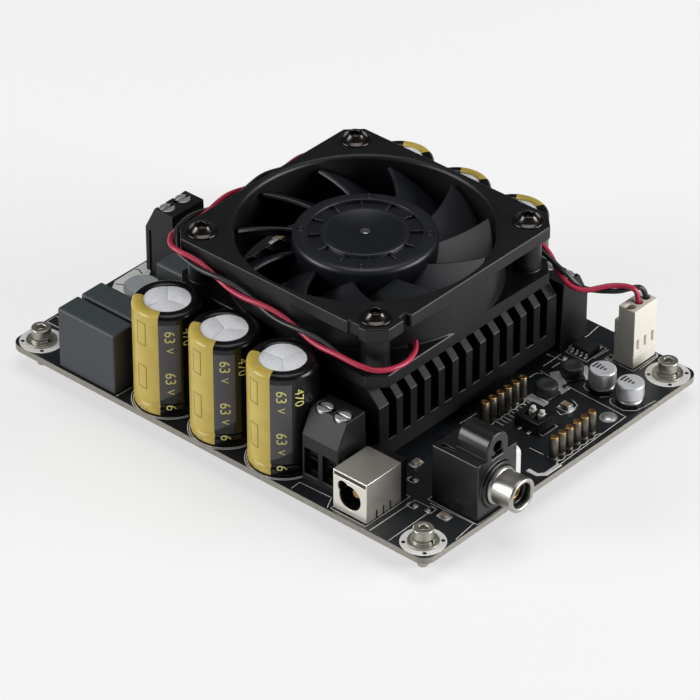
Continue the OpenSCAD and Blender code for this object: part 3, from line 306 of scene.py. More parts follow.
# Satin black solder mask over copper: the copper underneath shows as slightly paler plates
def mask_material():
    material, tree, shader = new_material("solder_mask_black", IOR=1.5)
    place = add(tree, "ShaderNodeTexCoord").outputs["Object"]
    plates = add(tree, "ShaderNodeTexVoronoi", {"Vector": place}, {"Scale": per_mm(7)}, distance="CHEBYCHEV")
    cloud = add(tree, "ShaderNodeTexNoise", {"Vector": place}, {"Scale": per_mm(14), "Detail": 3.0})
    copper = add(tree, "ShaderNodeMath", {0: plates.outputs["Distance"]}, {1: 0.3}, operation="GREATER_THAN")
    tone = add(tree, "ShaderNodeMix", {0: cloud.outputs[0]}, {6: srgb("#131518"), 7: srgb("#212428")},
               data_type="RGBA")
    over = add(tree, "ShaderNodeMix", {0: copper.outputs[0], 6: tone.outputs[2]}, {7: srgb("#191c1f")},
               data_type="RGBA")
    gloss = add(tree, "ShaderNodeMapRange", {0: cloud.outputs[0]}, {3: 0.28, 4: 0.42})
    bump = add(tree, "ShaderNodeBump", {"Height": copper.outputs[0]},
               {"Strength": 0.3, "Distance": 0.03 * MM})
    tree.links.new(over.outputs[2], shader.inputs["Base Color"])
    tree.links.new(gloss.outputs[0], shader.inputs["Roughness"])
    tree.links.new(bump.outputs[0], shader.inputs["Normal"])
    return material


# Printed shrink sleeve, glossy: a gold panel with brown outlines, a grey band and black.
# The map gives the angle in turns across and the height in units of SLEEVE_UNIT mm upwards.
SLEEVE_UNIT = 30.0
GOLD_SPAN = (-156, -66)
GREY_SPAN = (-66, -31)
OUTLINE_SPAN = (-108, -88)
OUTLINE_HIGH = ((17.6, 23.6), (6.4, 12.4), (-4.8, 1.2))
GOLD_HIGH = 26.2
REAR_GOLD_SPAN = (-142, -80)
REAR_GOLD_HIGH = 30
BAND_LOW = 4.3
BAND_SLANT = 2.4
BAND_HIGH = 24
LINE_TURN = 2
LINE_HIGH = 0.25


def sleeve_material(name, gold_span, gold_high):
    material, tree, shader = new_material(name, IOR=1.5, Roughness=0.24, Specular_IOR_Level=0.35)
    chart = add(tree, "ShaderNodeUVMap", uv_map="sleeve").outputs[0]
    spread = add(tree, "ShaderNodeSeparateXYZ", {0: chart})
    angle = add(tree, "ShaderNodeMath", {0: spread.outputs[0]}, {1: 360.0, 2: -180.0},
                operation="MULTIPLY_ADD").outputs[0]
    high = add(tree, "ShaderNodeMath", {0: spread.outputs[1]}, {1: SLEEVE_UNIT},
               operation="MULTIPLY").outputs[0]

    def printed(base, layer, limits, share=None):
        """Lays a colour, or another node's colour, over the base where every limit holds."""
        for source, (low, top) in limits:
            inside = add(tree, "ShaderNodeMath", {0: source}, {1: (low + top) / 2, 2: (top - low) / 2},
                         operation="COMPARE").outputs[0]
            if share is None:
                share = inside
            else:
                share = add(tree, "ShaderNodeMath", {0: share, 1: inside}, operation="MULTIPLY").outputs[0]
        links = {0: share, 6: base}
        values = {}
        (values if isinstance(layer, tuple) else links)[7] = layer
        return add(tree, "ShaderNodeMix", links, values, data_type="RGBA").outputs[2]

    place = add(tree, "ShaderNodeTexCoord").outputs["Object"]
    cloud = add(tree, "ShaderNodeTexNoise", {"Vector": place}, {"Scale": per_mm(5), "Detail": 2.0})
    gold = add(tree, "ShaderNodeMix", {0: cloud.outputs[0]}, {6: srgb("#ad9640"), 7: srgb("#c6b15b")},
               data_type="RGBA").outputs[2]
    black = add(tree, "ShaderNodeMix", {0: cloud.outputs[0]}, {6: srgb("#070708"), 7: srgb("#0d0d0e")},
                data_type="RGBA").outputs[2]
    slant = add(tree, "ShaderNodeMapRange", {0: angle},
                {1: GREY_SPAN[0], 2: GREY_SPAN[1], 3: BAND_LOW, 4: BAND_LOW + BAND_SLANT})
    above = add(tree, "ShaderNodeMath", {0: high, 1: slant.outputs[0]}, operation="GREATER_THAN").outputs[0]
    print_ = printed(black, srgb("#4a484b"), [(angle, GREY_SPAN), (high, (0, BAND_HIGH))], above)
    print_ = printed(print_, gold, [(angle, gold_span), (high, (0, gold_high))])
    inner_span = (OUTLINE_SPAN[0] + LINE_TURN, OUTLINE_SPAN[1] - LINE_TURN)
    for low, top in OUTLINE_HIGH:
        print_ = printed(print_, srgb("#77642a"), [(angle, OUTLINE_SPAN), (high, (low, top))])
        print_ = printed(print_, gold, [(angle, inner_span), (high, (low + LINE_HIGH, top - LINE_HIGH))])
    tree.links.new(print_, shader.inputs["Base Color"])
    ripple = add(tree, "ShaderNodeTexNoise", {"Vector": place}, {"Scale": per_mm(2.2), "Detail": 1.0})
    bump = add(tree, "ShaderNodeBump", {"Height": ripple.outputs[0]},
               {"Strength": 0.06, "Distance": 0.05 * MM})
    tree.links.new(bump.outputs[0], shader.inputs["Normal"])
    return material


# Insulated wire: soft vinyl, a little gloss, slight flow marks along it
RED_VINYL = plastic("red_vinyl_insulation", "#9c1c38", "#b52a48", (0.3, 0.42), grain=0.6, relief=0.1)
BLACK_VINYL = plastic("black_vinyl_insulation", "#141415", "#1e1e20", (0.3, 0.42), grain=0.6, relief=0.1)
# Board: mask on both faces, sanded glass laminate at the cut edge, white ink, tinned copper
MASK = mask_material()
LAMINATE = plastic("cut_glass_laminate", "#77736a", "#96928a", (0.6, 0.75), grain=0.2, relief=0.5, size=0.8)
INK = plastic("white_board_ink", "#c6c6c2", "#dadad6", (0.55, 0.7), grain=0.15, relief=0.3, size=1.5)
TIN = metal("reflowed_tin", "#b8b8b6", "#d4d4d1", (0.28, 0.42), grain=0.8, relief=0.2, bare=0.8)
PAD_TIN = metal("levelled_tin", "#dadad6", "#eeeeea", (0.45, 0.6), grain=0.6, relief=0.2, bare=0.2)
REFLOWED_PAD = metal("reflowed_pad", "#8f9192", "#e2e4e4", (0.3, 0.5),
                     grain=0.4, relief=0.6, size=0.8, bare=0.3)
# Cooler: black anodised extrusion, glass-filled fan plastic, black nickel screws
ANODISED = plastic("black_anodised_aluminium", "#070808", "#0d0e0e", (0.34, 0.46),
                   grain=0.3, relief=0.2, shine=0.3)
FAN_PLASTIC = plastic("glass_filled_fan_plastic", "#060708", "#0c0d0f", (0.38, 0.48),
                      grain=0.3, relief=0.3, shine=0.4)
BLADE_PLASTIC = plastic("satin_blade_plastic", "#0f1116", "#171920", (0.34, 0.44), grain=0.4, relief=0.15)
HUB_LABEL = plastic("dark_hub_label", "#0e1016", "#15181f", (0.3, 0.4), grain=0.5, relief=0.1, shine=0.4)
BLACK_NICKEL = metal("black_nickel_plate", "#3c3936", "#565250", (0.16, 0.26), grain=0.7)
# Capacitors: printed sleeve, its ink, the etched and laminated lid, the resin-filled film box
SLEEVE = sleeve_material("printed_shrink_sleeve", GOLD_SPAN, GOLD_HIGH)
REAR_SLEEVE = sleeve_material("printed_rear_sleeve", REAR_GOLD_SPAN, REAR_GOLD_HIGH)
SLEEVE_INK = plastic("yellow_sleeve_ink", "#c9c270", "#dbd480", (0.3, 0.4), grain=0.3, relief=0.1)
LID_METAL = metal("etched_capacitor_aluminium", "#d2d7df", "#ffffff", (0.35, 0.55),
                  grain=0.4, relief=0.6, size=0.5, bare=0.15)
FILM_BOX = plastic("film_capacitor_box", "#2b2d2f", "#393b3e", (0.42, 0.56), grain=0.3, relief=0.4)
FILM_RESIN = plastic("film_capacitor_resin", "#2b3235", "#434b4e", (0.5, 0.65),
                     grain=0.45, relief=0.6, size=0.7)
# Connectors
TERMINAL = plastic("polyamide_terminal", "#0b0e0d", "#131615", (0.42, 0.55),
                   grain=0.3, relief=0.3, shine=0.35)
JACK_PLASTIC = plastic("glossy_black_jack_plastic", "#0e0f11", "#161719", (0.24, 0.34),
                       grain=0.5, relief=0.12)
NICKEL = metal("nickel_plated_sheet", "#dad5ca", "#e6e2d8", (0.28, 0.34),
               grain=2.5, relief=0.02, size=14, bare=0.85)
BARREL_NICKEL = metal("nickel_plated_barrel", "#a5a39d", "#b3b1ab", (0.32, 0.38),
                      grain=2.5, relief=0.02, size=14)
ZINC = metal("zinc_plated_steel", "#9b988e", "#b8b5ab", (0.28, 0.42), grain=0.5, bare=0.85)
# Clamp cages and contact bars: steel darkened to near black, painted shade for the shade inside the terminal
# windows
SHADED_CAGE_STEEL = metal("cage_steel_painted_shade", "#1d1b19", "#292724", (0.45, 0.6), grain=0.5)
BRASS = metal("bare_brass", "#b08d4e", "#d0ad6c", (0.25, 0.4))
CLAMP_ZINC = metal("bright_zinc_plate", "#c2c2c0", "#dadad8", (0.3, 0.42), grain=0.5, bare=0.7)
GOLD_PLATE = metal("gold_plated_pin", "#876c46", "#a3865a", (0.32, 0.45))
# Header posts: a dull tin tone darkened further to grey-brown, painted shade for the shadow the posts stand
# in
SHADED_POST_TIN = metal("tinned_header_post_painted_shade", "#5a554e", "#78726a", (0.34, 0.46))
IVORY = plastic("ivory_nylon", "#cfcabe", "#ded9ce", (0.4, 0.52), grain=0.4, relief=0.2)
WHITE = plastic("white_moulding", "#d0cec9", "#e0deda", (0.35, 0.48), grain=0.4, relief=0.15)
# Small parts
EPOXY = plastic("moulded_chip_epoxy", "#1b1c1e", "#262729", (0.5, 0.65), grain=0.15, relief=0.5)
FERRITE = plastic("coated_ferrite", "#232527", "#303234", (0.4, 0.55), grain=0.2, relief=0.5)
DRUM_COAT = plastic("grey_drum_coating", "#55595b", "#6c7071", (0.5, 0.65), grain=0.3, relief=0.4)
DRUM_FACE = plastic("pale_drum_face", "#84888a", "#a0a4a5", (0.45, 0.6), grain=0.3, relief=0.4, size=1.5)
CAN_METAL = metal("drawn_aluminium_can", "#b9babc", "#d3d4d6", (0.36, 0.48), grain=0.6, bare=0.8)
CAN_LID = metal("etched_can_top", "#c3c5c8", "#dddfe1", (0.4, 0.55), grain=0.4, relief=0.3, bare=0.3)
CAN_INK = plastic("dark_can_ink", "#2a2b2d", "#38393b", (0.4, 0.5))
CERAMIC = plastic("tan_chip_ceramic", "#7d6b52", "#978164", (0.45, 0.6), grain=0.15, relief=0.3)
RESISTOR = plastic("black_chip_film", "#161719", "#222325", (0.3, 0.45), grain=0.2, relief=0.2)
# Parts inside
PAD = plastic("thermal_pad_silicone", "#a9a6a0", "#bdbab3", (0.7, 0.85), grain=0.4, relief=0.4)
MAGNET = plastic("bonded_ferrite_magnet", "#303032", "#3d3d40", (0.6, 0.75), grain=0.2, relief=0.4)
STEEL = metal("ground_steel", "#bdbdc0", "#d0d0d3", (0.15, 0.25))
BRONZE = metal("sintered_bronze", "#6f5736", "#836842", (0.4, 0.55), grain=0.15, relief=0.4)
COIL = metal("enamelled_copper", "#3d2c1d", "#523c29", (0.3, 0.45), grain=0.3, relief=0.5)
GREEN_BOARD = plastic("green_driver_board", "#1d3a26", "#284c31", (0.35, 0.5))


# Camera at the photograph's angle; its image is square
PHOTO_SIDE = 700
VIEW_AZIMUTH = math.radians(41.6)
VIEW_ELEVATION = math.radians(34.6)
VIEW_DISTANCE = 1.0458
aim = Vector((0, 0, BOARD_TOP))
back = Vector((math.sin(VIEW_AZIMUTH) * math.cos(VIEW_ELEVATION),
               -math.cos(VIEW_AZIMUTH) * math.cos(VIEW_ELEVATION), math.sin(VIEW_ELEVATION)))
lens = bpy.data.cameras.new("camera")
lens.lens = 243.6
lens.sensor_width = 36
lens.shift_x = -3.1 / PHOTO_SIDE
lens.shift_y = 7.1 / PHOTO_SIDE
lens.clip_end = 20
camera = bpy.data.objects.new("camera", lens)
camera.location = aim + back * VIEW_DISTANCE
camera.rotation_euler = (-back).to_track_quat("-Z", "Y").to_euler()
scene.collection.objects.link(camera)
scene.camera = camera


# Fan leads: a twisted pair from the frame round its posts to the plug, heights above the board
LEAD_D = 1.2
RED_ROUTE = [
    (31.59, -15.65, 26.47), (33.34, -17.66, 26.56), (34.61, -20.06, 26.64), (35.35, -22.7, 26.72),
    (35.27, -25.45, 26.82), (34.41, -28.07, 26.96), (32.6, -30.2, 27.18), (30.05, -31.23, 27.49),
    (27.42, -31.73, 27.75), (24.78, -31.94, 27.99), (22.15, -32.08, 28.06), (19.5, -32.03, 27.92),
    (16.87, -31.72, 27.9), (14.27, -31.29, 28.15), (11.7, -30.94, 28.68), (9.16, -30.81, 29.39),
    (6.61, -30.97, 30.09), (4.04, -31.35, 30.6), (1.44, -31.77, 30.82), (-1.19, -32.05, 30.8),
    (-3.84, -32.06, 30.68), (-6.47, -31.79, 30.67), (-9.08, -31.38, 30.93), (-11.64, -30.99, 31.49),
    (-14.16, -30.81, 32.27), (-16.69, -30.92, 33.06), (-19.24, -31.28, 33.66), (-21.87, -31.69, 33.98),
    (-24.58, -31.21, 34.09), (-26.72, -29.34, 34.04), (-28.04, -26.9, 33.8), (-27.97, -24.19, 33.75),
    (-27.62, -21.59, 33.89), (-27.47, -18.97, 34.2), (-27.58, -16.35, 34.55), (-27.94, -13.74, 34.78),
    (-28.41, -11.14, 34.75), (-28.8, -8.54, 34.45), (-28.94, -5.94, 33.96), (-28.78, -3.34, 33.48),
    (-28.41, -0.74, 33.18), (-27.98, 1.87, 33.16), (-27.7, 4.49, 33.35), (-27.67, 7.12, 33.62),
    (-27.91, 9.75, 33.77), (-28.3, 12.37, 33.67), (-28.65, 14.96, 33.26), (-28.8, 17.53, 32.58),
    (-28.61, 20.08, 31.87), (-28.18, 22.65, 31.41), (-27.72, 25.22, 31.3), (-26.93, 27.55, 31.41),
    (-25.53, 29.47, 31.58), (-23.58, 30.96, 31.65), (-21.09, 31.71, 31.47), (-18.49, 32.04, 31.02),
    (-15.91, 32.06, 30.41), (-13.32, 31.79, 29.9), (-10.73, 31.34, 29.66), (-8.11, 30.94, 29.72),
    (-5.47, 30.81, 29.97), (-2.84, 31.01, 30.2), (-0.22, 31.43, 30.19), (2.38, 31.87, 29.82),
    (4.94, 32.08, 29.19), (7.49, 31.98, 28.48), (10.05, 31.6, 27.92), (12.65, 31.14, 27.66),
    (15.28, 30.85, 27.67), (17.93, 30.86, 27.76), (20.57, 31.15, 27.68), (23.18, 31.59, 27.24),
    (25.69, 31.95, 26.33), (28.1, 31.92, 25.14), (30.31, 31.5, 23.75), (32.26, 30.7, 22.28),
    (34.3, 30.55, 20.68), (36.51, 31.23, 19.15), (38.58, 32.87, 18.49), (40.15, 34.96, 18.61),
    (41.67, 37.1, 18.81), (43.48, 38.99, 18.77), (45.1, 40.1, 18.6), (46.2, 40.9, 17.8),
    (46.75, 41.12, 16.2), (46.9, 41.15, 14.2), (46.9, 41.15, 11.6)]
BLACK_ROUTE = [
    (30.81, -16.35, 25.73), (32.49, -18.27, 25.83), (33.65, -20.47, 25.91), (34.31, -22.85, 25.99),
    (34.23, -25.3, 26.09), (33.47, -27.61, 26.22), (31.93, -29.39, 26.45), (29.68, -30.25, 26.76),
    (27.21, -30.7, 27.02), (24.66, -30.89, 27.26), (22.11, -30.83, 27.77), (19.56, -30.88, 28.48),
    (17, -31.18, 29.06), (14.41, -31.61, 29.38), (11.79, -31.96, 29.44), (9.15, -32.09, 29.34),
    (6.51, -31.93, 29.25), (3.89, -31.55, 29.34), (1.31, -31.13, 29.72), (-1.25, -30.85, 30.34),
    (-3.79, -30.84, 31.08), (-6.33, -31.11, 31.74), (-8.9, -31.52, 32.19), (-11.51, -31.91, 32.37),
    (-14.15, -32.09, 32.38), (-16.79, -31.98, 32.35), (-19.41, -31.65, 32.45), (-21.96, -31.19, 32.81),
    (-24.1, -30.19, 33.49), (-25.74, -28.55, 34.28), (-27.25, -26.66, 34.78), (-27.95, -24.21, 35.03),
    (-28.41, -21.6, 34.9), (-28.72, -18.99, 34.48), (-28.73, -16.39, 33.98), (-28.47, -13.78, 33.61),
    (-28.08, -11.16, 33.52), (-27.76, -8.55, 33.7), (-27.66, -5.93, 34.03), (-27.84, -3.31, 34.34),
    (-28.22, -0.69, 34.45), (-28.64, 1.92, 34.26), (-28.9, 4.52, 33.79), (-28.88, 7.1, 33.2),
    (-28.59, 9.68, 32.69), (-28.14, 12.26, 32.4), (-27.72, 14.87, 32.38), (-27.52, 17.51, 32.55),
    (-27.63, 20.15, 32.7), (-28.01, 22.77, 32.68), (-28.43, 25.4, 32.35), (-28.04, 28.11, 31.71),
    (-26.31, 30.27, 30.97), (-23.8, 31.34, 30.45), (-21.13, 31.21, 30.29), (-18.52, 30.89, 30.47),
    (-15.89, 30.84, 30.78), (-13.26, 31.13, 30.99), (-10.64, 31.57, 30.91), (-8.05, 31.96, 30.49),
    (-5.48, 32.09, 29.87), (-2.91, 31.89, 29.28), (-0.32, 31.47, 28.91), (2.29, 31.03, 28.86),
    (4.93, 30.82, 29.02), (7.57, 30.92, 29.2), (10.2, 31.3, 29.16), (12.79, 31.76, 28.78),
    (15.33, 32.05, 28.09), (17.86, 32.04, 27.28), (20.38, 31.76, 26.57), (22.89, 31.35, 26.01),
    (25.41, 30.98, 25.54), (27.96, 30.64, 25.12), (30.5, 30.45, 24.45), (32.98, 30.42, 23.3),
    (34.84, 31.33, 21.54), (36.1, 32.36, 19.59), (37.66, 33.71, 18.17), (39.58, 35.46, 17.58),
    (41.72, 37.05, 17.53), (43.55, 38.9, 17.49), (44.9, 41, 17.7), (46, 42.5, 17.7), (46.7, 43.4, 16.6),
    (46.9, 43.69, 14.6), (46.9, 43.69, 11.6)]


def fan_lead(node, route, vinyl):
    curve = bpy.data.curves.new(node + "_wire", "CURVE")
    curve.dimensions = "3D"
    curve.bevel_depth = LEAD_D / 2 * MM
    curve.bevel_resolution = 4
    curve.resolution_u = 5
    curve.use_fill_caps = True
    spline = curve.splines.new("BEZIER")
    spline.bezier_points.add(len(route) - 1)
    ground = Vector((0, 0, BOARD_TOP))
    for point, spot in zip(spline.bezier_points, route):
        point.co = Vector(spot) * MM + ground
        point.handle_left_type = point.handle_right_type = "AUTO"
    wire = bpy.data.objects.new(node + "_wire", curve)
    scene.collection.objects.link(wire)
    curve.materials.append(vinyl)
    stands_for(wire, node)


fan_lead("fan_lead_red", RED_ROUTE, RED_VINYL)
fan_lead("fan_lead_black", BLACK_ROUTE, BLACK_VINYL)


# Board
def finish_board():
    board = softened("circuit_board", 0.1, MASK)
    paint_faces(board, LAMINATE, lambda centre, normal: abs(normal.z) < 0.6)


finish_board()


# Electrolytic capacitors: printed sleeve over a drawn can with a scored lid
CAP_LOW, CAP_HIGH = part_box("capacitor_front_2")
CAP_R = (CAP_HIGH.x - CAP_LOW.x) / 2 / MM
CAP_H = (CAP_HIGH.z - BOARD_TOP) / MM
LID_R = 5.1
RIM_R = 1.3


def sleeve_piece():
    r, h = CAP_R, CAP_H
    waist = arc(r + 0.55, 2.8, 0.95, 238, 122, 6)
    profile = [(0, 0.02), (r - 1, 0.02)] + arc(r - 0.9, 0.9, 0.9, -80, 0, 4)
    profile += [(r, 1.7)] + waist + [(r, 3.9), (r, 12), (r, 18)]
    profile += arc(r - RIM_R, h - RIM_R, RIM_R, 0, 90, 8)
    profile += [(LID_R + 0.7, h), (LID_R + 0.25, h - 0.05), (LID_R, h - 0.3)]
    return turned("sleeve", profile, steps=96)


def lid_piece(first_score):
    """The lid: a crowned disc scored by three lines that meet in the middle."""
    bpy.ops.object.select_all(action="DESELECT")
    bpy.ops.mesh.primitive_circle_add(vertices=120, radius=(LID_R + 0.05) * MM, fill_type="TRIFAN")
    lid = bpy.context.object
    start_edit(lid)
    bpy.ops.mesh.subdivide(number_cuts=9)
    end_edit()
    for point in lid.data.vertices:
        radius = math.hypot(point.co.x, point.co.y) / MM
        turn = math.degrees(math.atan2(point.co.y, point.co.x))
        away = abs((turn + 60) % 120 - 60)
        dome = 0.1 * (1 - (radius / LID_R) ** 2)
        crown = dome + 0.3 * math.sin(math.radians(away * 1.5)) * min(1, radius / 3)
        score = 0.16 if away < 1.6 and radius < LID_R - 0.4 else 0
        point.co.z = (CAP_H - 0.5 + crown - score) * MM
    lid.rotation_euler.z = math.radians(first_score)
    set_down(lid)
    smooth(lid, 60)
    return lid


def wrapped_text(body, size, angle, high):
    """Flat lettering laid round the sleeve: it reads downwards from an angle and a height."""
    bpy.ops.object.select_all(action="DESELECT")
    bpy.ops.object.text_add()
    label = bpy.context.object
    label.data.body = body
    label.data.size = size * MM
    label.data.align_y = "CENTER"
    label.data.resolution_u = 4
    bpy.ops.object.convert(target="MESH")
    start_edit(label)
    bpy.ops.mesh.subdivide(number_cuts=1)
    end_edit()
    reach = CAP_R + 0.03
    for point in label.data.vertices:
        turn = math.radians(angle) + point.co.y / MM / reach
        down = high - point.co.x / MM
        point.co = Vector((reach * math.cos(turn), reach * math.sin(turn), down)) * MM
    return label


def map_sleeve(sleeve):
    """Writes the print's map: the angle in turns across and the height upwards."""
    layer = sleeve.data.uv_layers.new(name="sleeve")
    for face in sleeve.data.polygons:
        middle = math.atan2(face.center.y, face.center.x)
        for loop in face.loop_indices:
            spot = sleeve.data.vertices[sleeve.data.loops[loop].vertex_index].co
            angle = math.atan2(spot.y, spot.x) if math.hypot(spot.x, spot.y) > 1e-6 else middle
            angle += math.tau * round((middle - angle) / math.tau)
            layer.data[loop].uv = (angle / math.tau + 0.5, spot.z / MM / SLEEVE_UNIT)


RATING = [("63", 3.3, -48.4, 22.6), ("V", 2.3, -48.4, 18.2), ("63", 3.3, -48.4, 11.8), ("V", 2.3, -48.4, 7.4),
          ("470", 3.0, -19, 22.6), ("6", 3.3, -48.4, 3.4)]


def capacitor(name, first_score, sleeve_paint):
    sleeve = sleeve_piece()
    map_sleeve(sleeve)
    smooth(sleeve, 50)
    paint(sleeve, sleeve_paint)
    lid = lid_piece(first_score)
    paint(lid, LID_METAL)
    labels = [wrapped_text(*line) for line in RATING]
    for label in labels:
        paint(label, SLEEVE_INK)
    return joined(name, [sleeve, lid] + labels)


def place_capacitors():
    for number, score, turn in ((1, 132, 4), (2, 157, 0), (3, 72, -3)):
        low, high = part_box(f"capacitor_front_{number}")
        middle = (low + high) / 2 / MM
        model = capacitor("capacitor_model", score - turn, SLEEVE)
        piece = copy_at(model, f"front_capacitor_{number}", (middle.x, middle.y, BOARD_TOP / MM), turn)
        drop(model)
        stands_for(piece, f"capacitor_front_{number}")
    low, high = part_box("rear_capacitors")
    fronts = [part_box(f"capacitor_front_{n}") for n in (1, 2, 3)]
    columns = [(left.x + right.x) / 2 / MM for left, right in fronts]
    row = (low.y + high.y) / 2 / MM
    model = capacitor("capacitor_model", 40, REAR_SLEEVE)
    row_pieces = [copy_at(model, "rear_capacitor", (x, row, BOARD_TOP / MM), turn)
                  for x, turn in zip(columns, (203, 201, 205))]
    drop(model)
    stands_for(joined("rear_capacitor_row", row_pieces), "rear_capacitors")


place_capacitors()


# Heat sink and fan
softened("heatsink", 0.18, ANODISED)
softened("fan_frame", 0.3, FAN_PLASTIC, segments=3)
softened("fan_screws", 0.12, BLACK_NICKEL, segments=3, angle=25)
softened("corner_screws", 0.25, ZINC, segments=3)
softened("corner_washers", 0.08, ZINC)
softened("corner_nuts", 0.2, ZINC)
softened("heatsink_screws", 0.2, ZINC)

COOLER_X = 3.5
FAN_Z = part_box("fan_frame")[0].z / MM
HUB_R = 16.0
HUB_LOW, HUB_TOP = 3.6, 13.8
BLADES = 11
BLADE_PHASE = -108
BLADE_T = 1.0


def blade_spot(s, t):
    """A point of a blade: s runs from the hub to the tip, t from its upper to its lower edge."""
    r = 15.25 + (27.7 - 15.25) * s
    turn = -15 * (1 - s) - (36 - 6 * s) * t
    high = 10.8 + 2 * s
    z = high - (high - 3.2) * (t - 0.07 * math.sin(math.pi * t))
    angle = math.radians(turn)
    return Vector((r * math.cos(angle), r * math.sin(angle), z)) * MM


def blade_piece():
    """One blade: a grid bent to the blade's sweep, thickened, with soft edges."""
    bpy.ops.object.select_all(action="DESELECT")
    bpy.ops.mesh.primitive_grid_add(x_subdivisions=10, y_subdivisions=14, size=1)
    blade = bpy.context.object
    for point in blade.data.vertices:
        point.co = blade_spot(point.co.x + 0.5, 0.5 - point.co.y)
    start_edit(blade)
    bpy.ops.mesh.normals_make_consistent(inside=False)
    end_edit()
    wall = blade.modifiers.new("wall", "SOLIDIFY")
    wall.thickness = BLADE_T * MM
    wall.offset = 0
    apply_modifiers(blade)
    bevelled(blade, 0.3, 2, 50)
    return blade


def hub_piece():
    """The hub: a cup with a rolled rim, a ribbed groove and a raised label disc."""
    r, top = HUB_R, HUB_TOP
    profile = [(r - 1.5, HUB_LOW), (r - 0.2, HUB_LOW), (r, HUB_LOW + 0.2), (r, top - 1.5)]
    profile += arc(r - 1.4, top - 1.4, 1.4, 0, 90, 8)
    profile += arc(12.8, top - 0.2, 0.2, 90, 180, 3) + [(12.6, top - 0.9), (9.9, top - 0.9)]
    profile += [(9.7, top - 0.35)] + arc(9.3, top - 0.35, 0.35, 0, 90, 4)
    profile += [(8.6, top), (8.4, top - 0.12), (0, top - 0.12)]
    profile += [(0, top - 2), (r - 1.5, top - 2), (r - 1.5, HUB_LOW)]
    hub = turned("hub", profile, steps=96)
    smooth(hub, 32)
    paint(hub, BLADE_PLASTIC)

    def on_label(centre, normal):
        near = math.hypot(centre.x, centre.y) < 8.3 * MM
        return normal.z > 0.9 and near and centre.z > (top - 1) * MM

    paint_faces(hub, HUB_LABEL, on_label)
    return hub


def finish_impeller():
    hub = hub_piece()
    rib = block("rib", (2.9, 0.55, 0.75), (11.25, 0, HUB_TOP - 1.0), 0.12)
    paint(rib, BLADE_PLASTIC)
    profile = [(0, 0.1), (1.15, 0.1)] + arc(0.85, -0.15, 0.3, 40, 90, 3) + [(0.5, 0.05), (0, 0.0)]
    boss = turned("boss", profile, 24)
    boss.location = (0, 0, (HUB_TOP - 0.14) * MM)
    set_down(boss)
    smooth(boss, 40)
    paint(boss, STEEL)
    dimple = turned("dimple", [(0, -0.35), (0.5, -0.3), (0.62, 0.02), (0.8, 0.06), (0.86, 0)], 20)
    paint(dimple, BLACK_NICKEL)
    smooth(dimple, 60)
    blade = blade_piece()
    paint(blade, BLADE_PLASTIC)
    parts = [hub, boss]
    parts += [copy_at(rib, "rib_copy", turn=15 + 30 * k) for k in range(12)]
    for k in range(4):
        spot = math.radians(38 + 90 * k)
        parts.append(copy_at(dimple, "dimple_copy", (14 * math.cos(spot), 14 * math.sin(spot), HUB_TOP)))
    parts += [copy_at(blade, "blade_copy", turn=BLADE_PHASE + 360 / BLADES * k) for k in range(BLADES)]
    drop(rib, dimple, blade)
    wheel = joined("fan_wheel", parts)
    wheel.location = Vector((COOLER_X, 0, FAN_Z)) * MM
    set_down(wheel)
    stands_for(wheel, "impeller")


finish_impeller()


# Film capacitors, drum inductor and terminals
def upper(centre, normal):
    return normal.z > 0.9


paint_faces(softened("film_capacitors", 0.35, FILM_BOX, segments=3), FILM_RESIN, upper)
paint_faces(softened("drum_inductor", 0.25, DRUM_COAT), DRUM_FACE, upper)


TIP_SHARE = 0.96


def turn_down_tip(screw):
    """Clamp screws end in a slightly turned-down tip, clear of the cage that rises round it."""
    spots = [point.co for point in screw.data.vertices]
    low = min(spot.z for spot in spots)
    x = (min(spot.x for spot in spots) + max(spot.x for spot in spots)) / 2
    y = (min(spot.y for spot in spots) + max(spot.y for spot in spots)) / 2
    for point in screw.data.vertices:
        if point.co.z < low + 1 * MM:
            point.co.x = x + (point.co.x - x) * TIP_SHARE
            point.co.y = y + (point.co.y - y) * TIP_SHARE


for side in ("power", "left", "rear"):
    softened(f"{side}_terminal", 0.18, TERMINAL)
    for pole in (1, 2):
        turn_down_tip(softened(f"{side}_clamp_screw_{pole}", 0.18, CLAMP_ZINC))
        # The cages take the near-black steel: painted shade
        paint(nodes[f"{side}_cage_{pole}"], SHADED_CAGE_STEEL)

# Power jack and phono jack
softened("dc_jack_housing", 0.15, JACK_PLASTIC)
softened("dc_jack_shield", 0.08, NICKEL)
softened("dc_jack_contacts", 0.08, BRASS)
softened("phono_body", 0.3, JACK_PLASTIC, segments=3)
softened("phono_side_block", 0.2, WHITE)
softened("phono_contact", 0.1, BRASS)


def finish_barrel():
    """The barrel: turned along Z with a rolled lip, then laid along X on the jack."""
    low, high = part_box("phono_barrel")
    length = (high.x - low.x) / MM
    r = (high.z - low.z) / 2 / MM - 0.45
    bore = r - 0.85
    profile = [(bore, 0), (r + 0.45, 0), (r + 0.45, 1.2), (r + 0.2, 1.55), (r, 1.7), (r, length - 0.9)]
    profile += arc(r - 0.55, length - 0.6, 0.6, -20, 180, 10)[1:] + [(bore, length - 1.4), (bore, 0)]
    barrel = turned("barrel", profile, steps=72)
    smooth(barrel, 32)
    paint(barrel, BARREL_NICKEL)
    barrel.rotation_euler = (0, math.pi / 2, 0)
    barrel.location = (low.x, (low.y + high.y) / 2, (low.z + high.z) / 2)
    set_down(barrel)
    stands_for(barrel, "phono_barrel")


finish_barrel()

# Headers, connector and small parts
softened("fan_header", 0.2, IVORY)
softened("fan_plug", 0.25, IVORY, segments=3)
softened("fan_header_pins", 0.1, GOLD_PLATE)
for number in (1, 2):
    softened(f"switch_slider_{number}", 0.2, WHITE, segments=3)


def middle_of(box):
    low, high = box
    return (low.x + high.x) / 2, (low.y + high.y) / 2


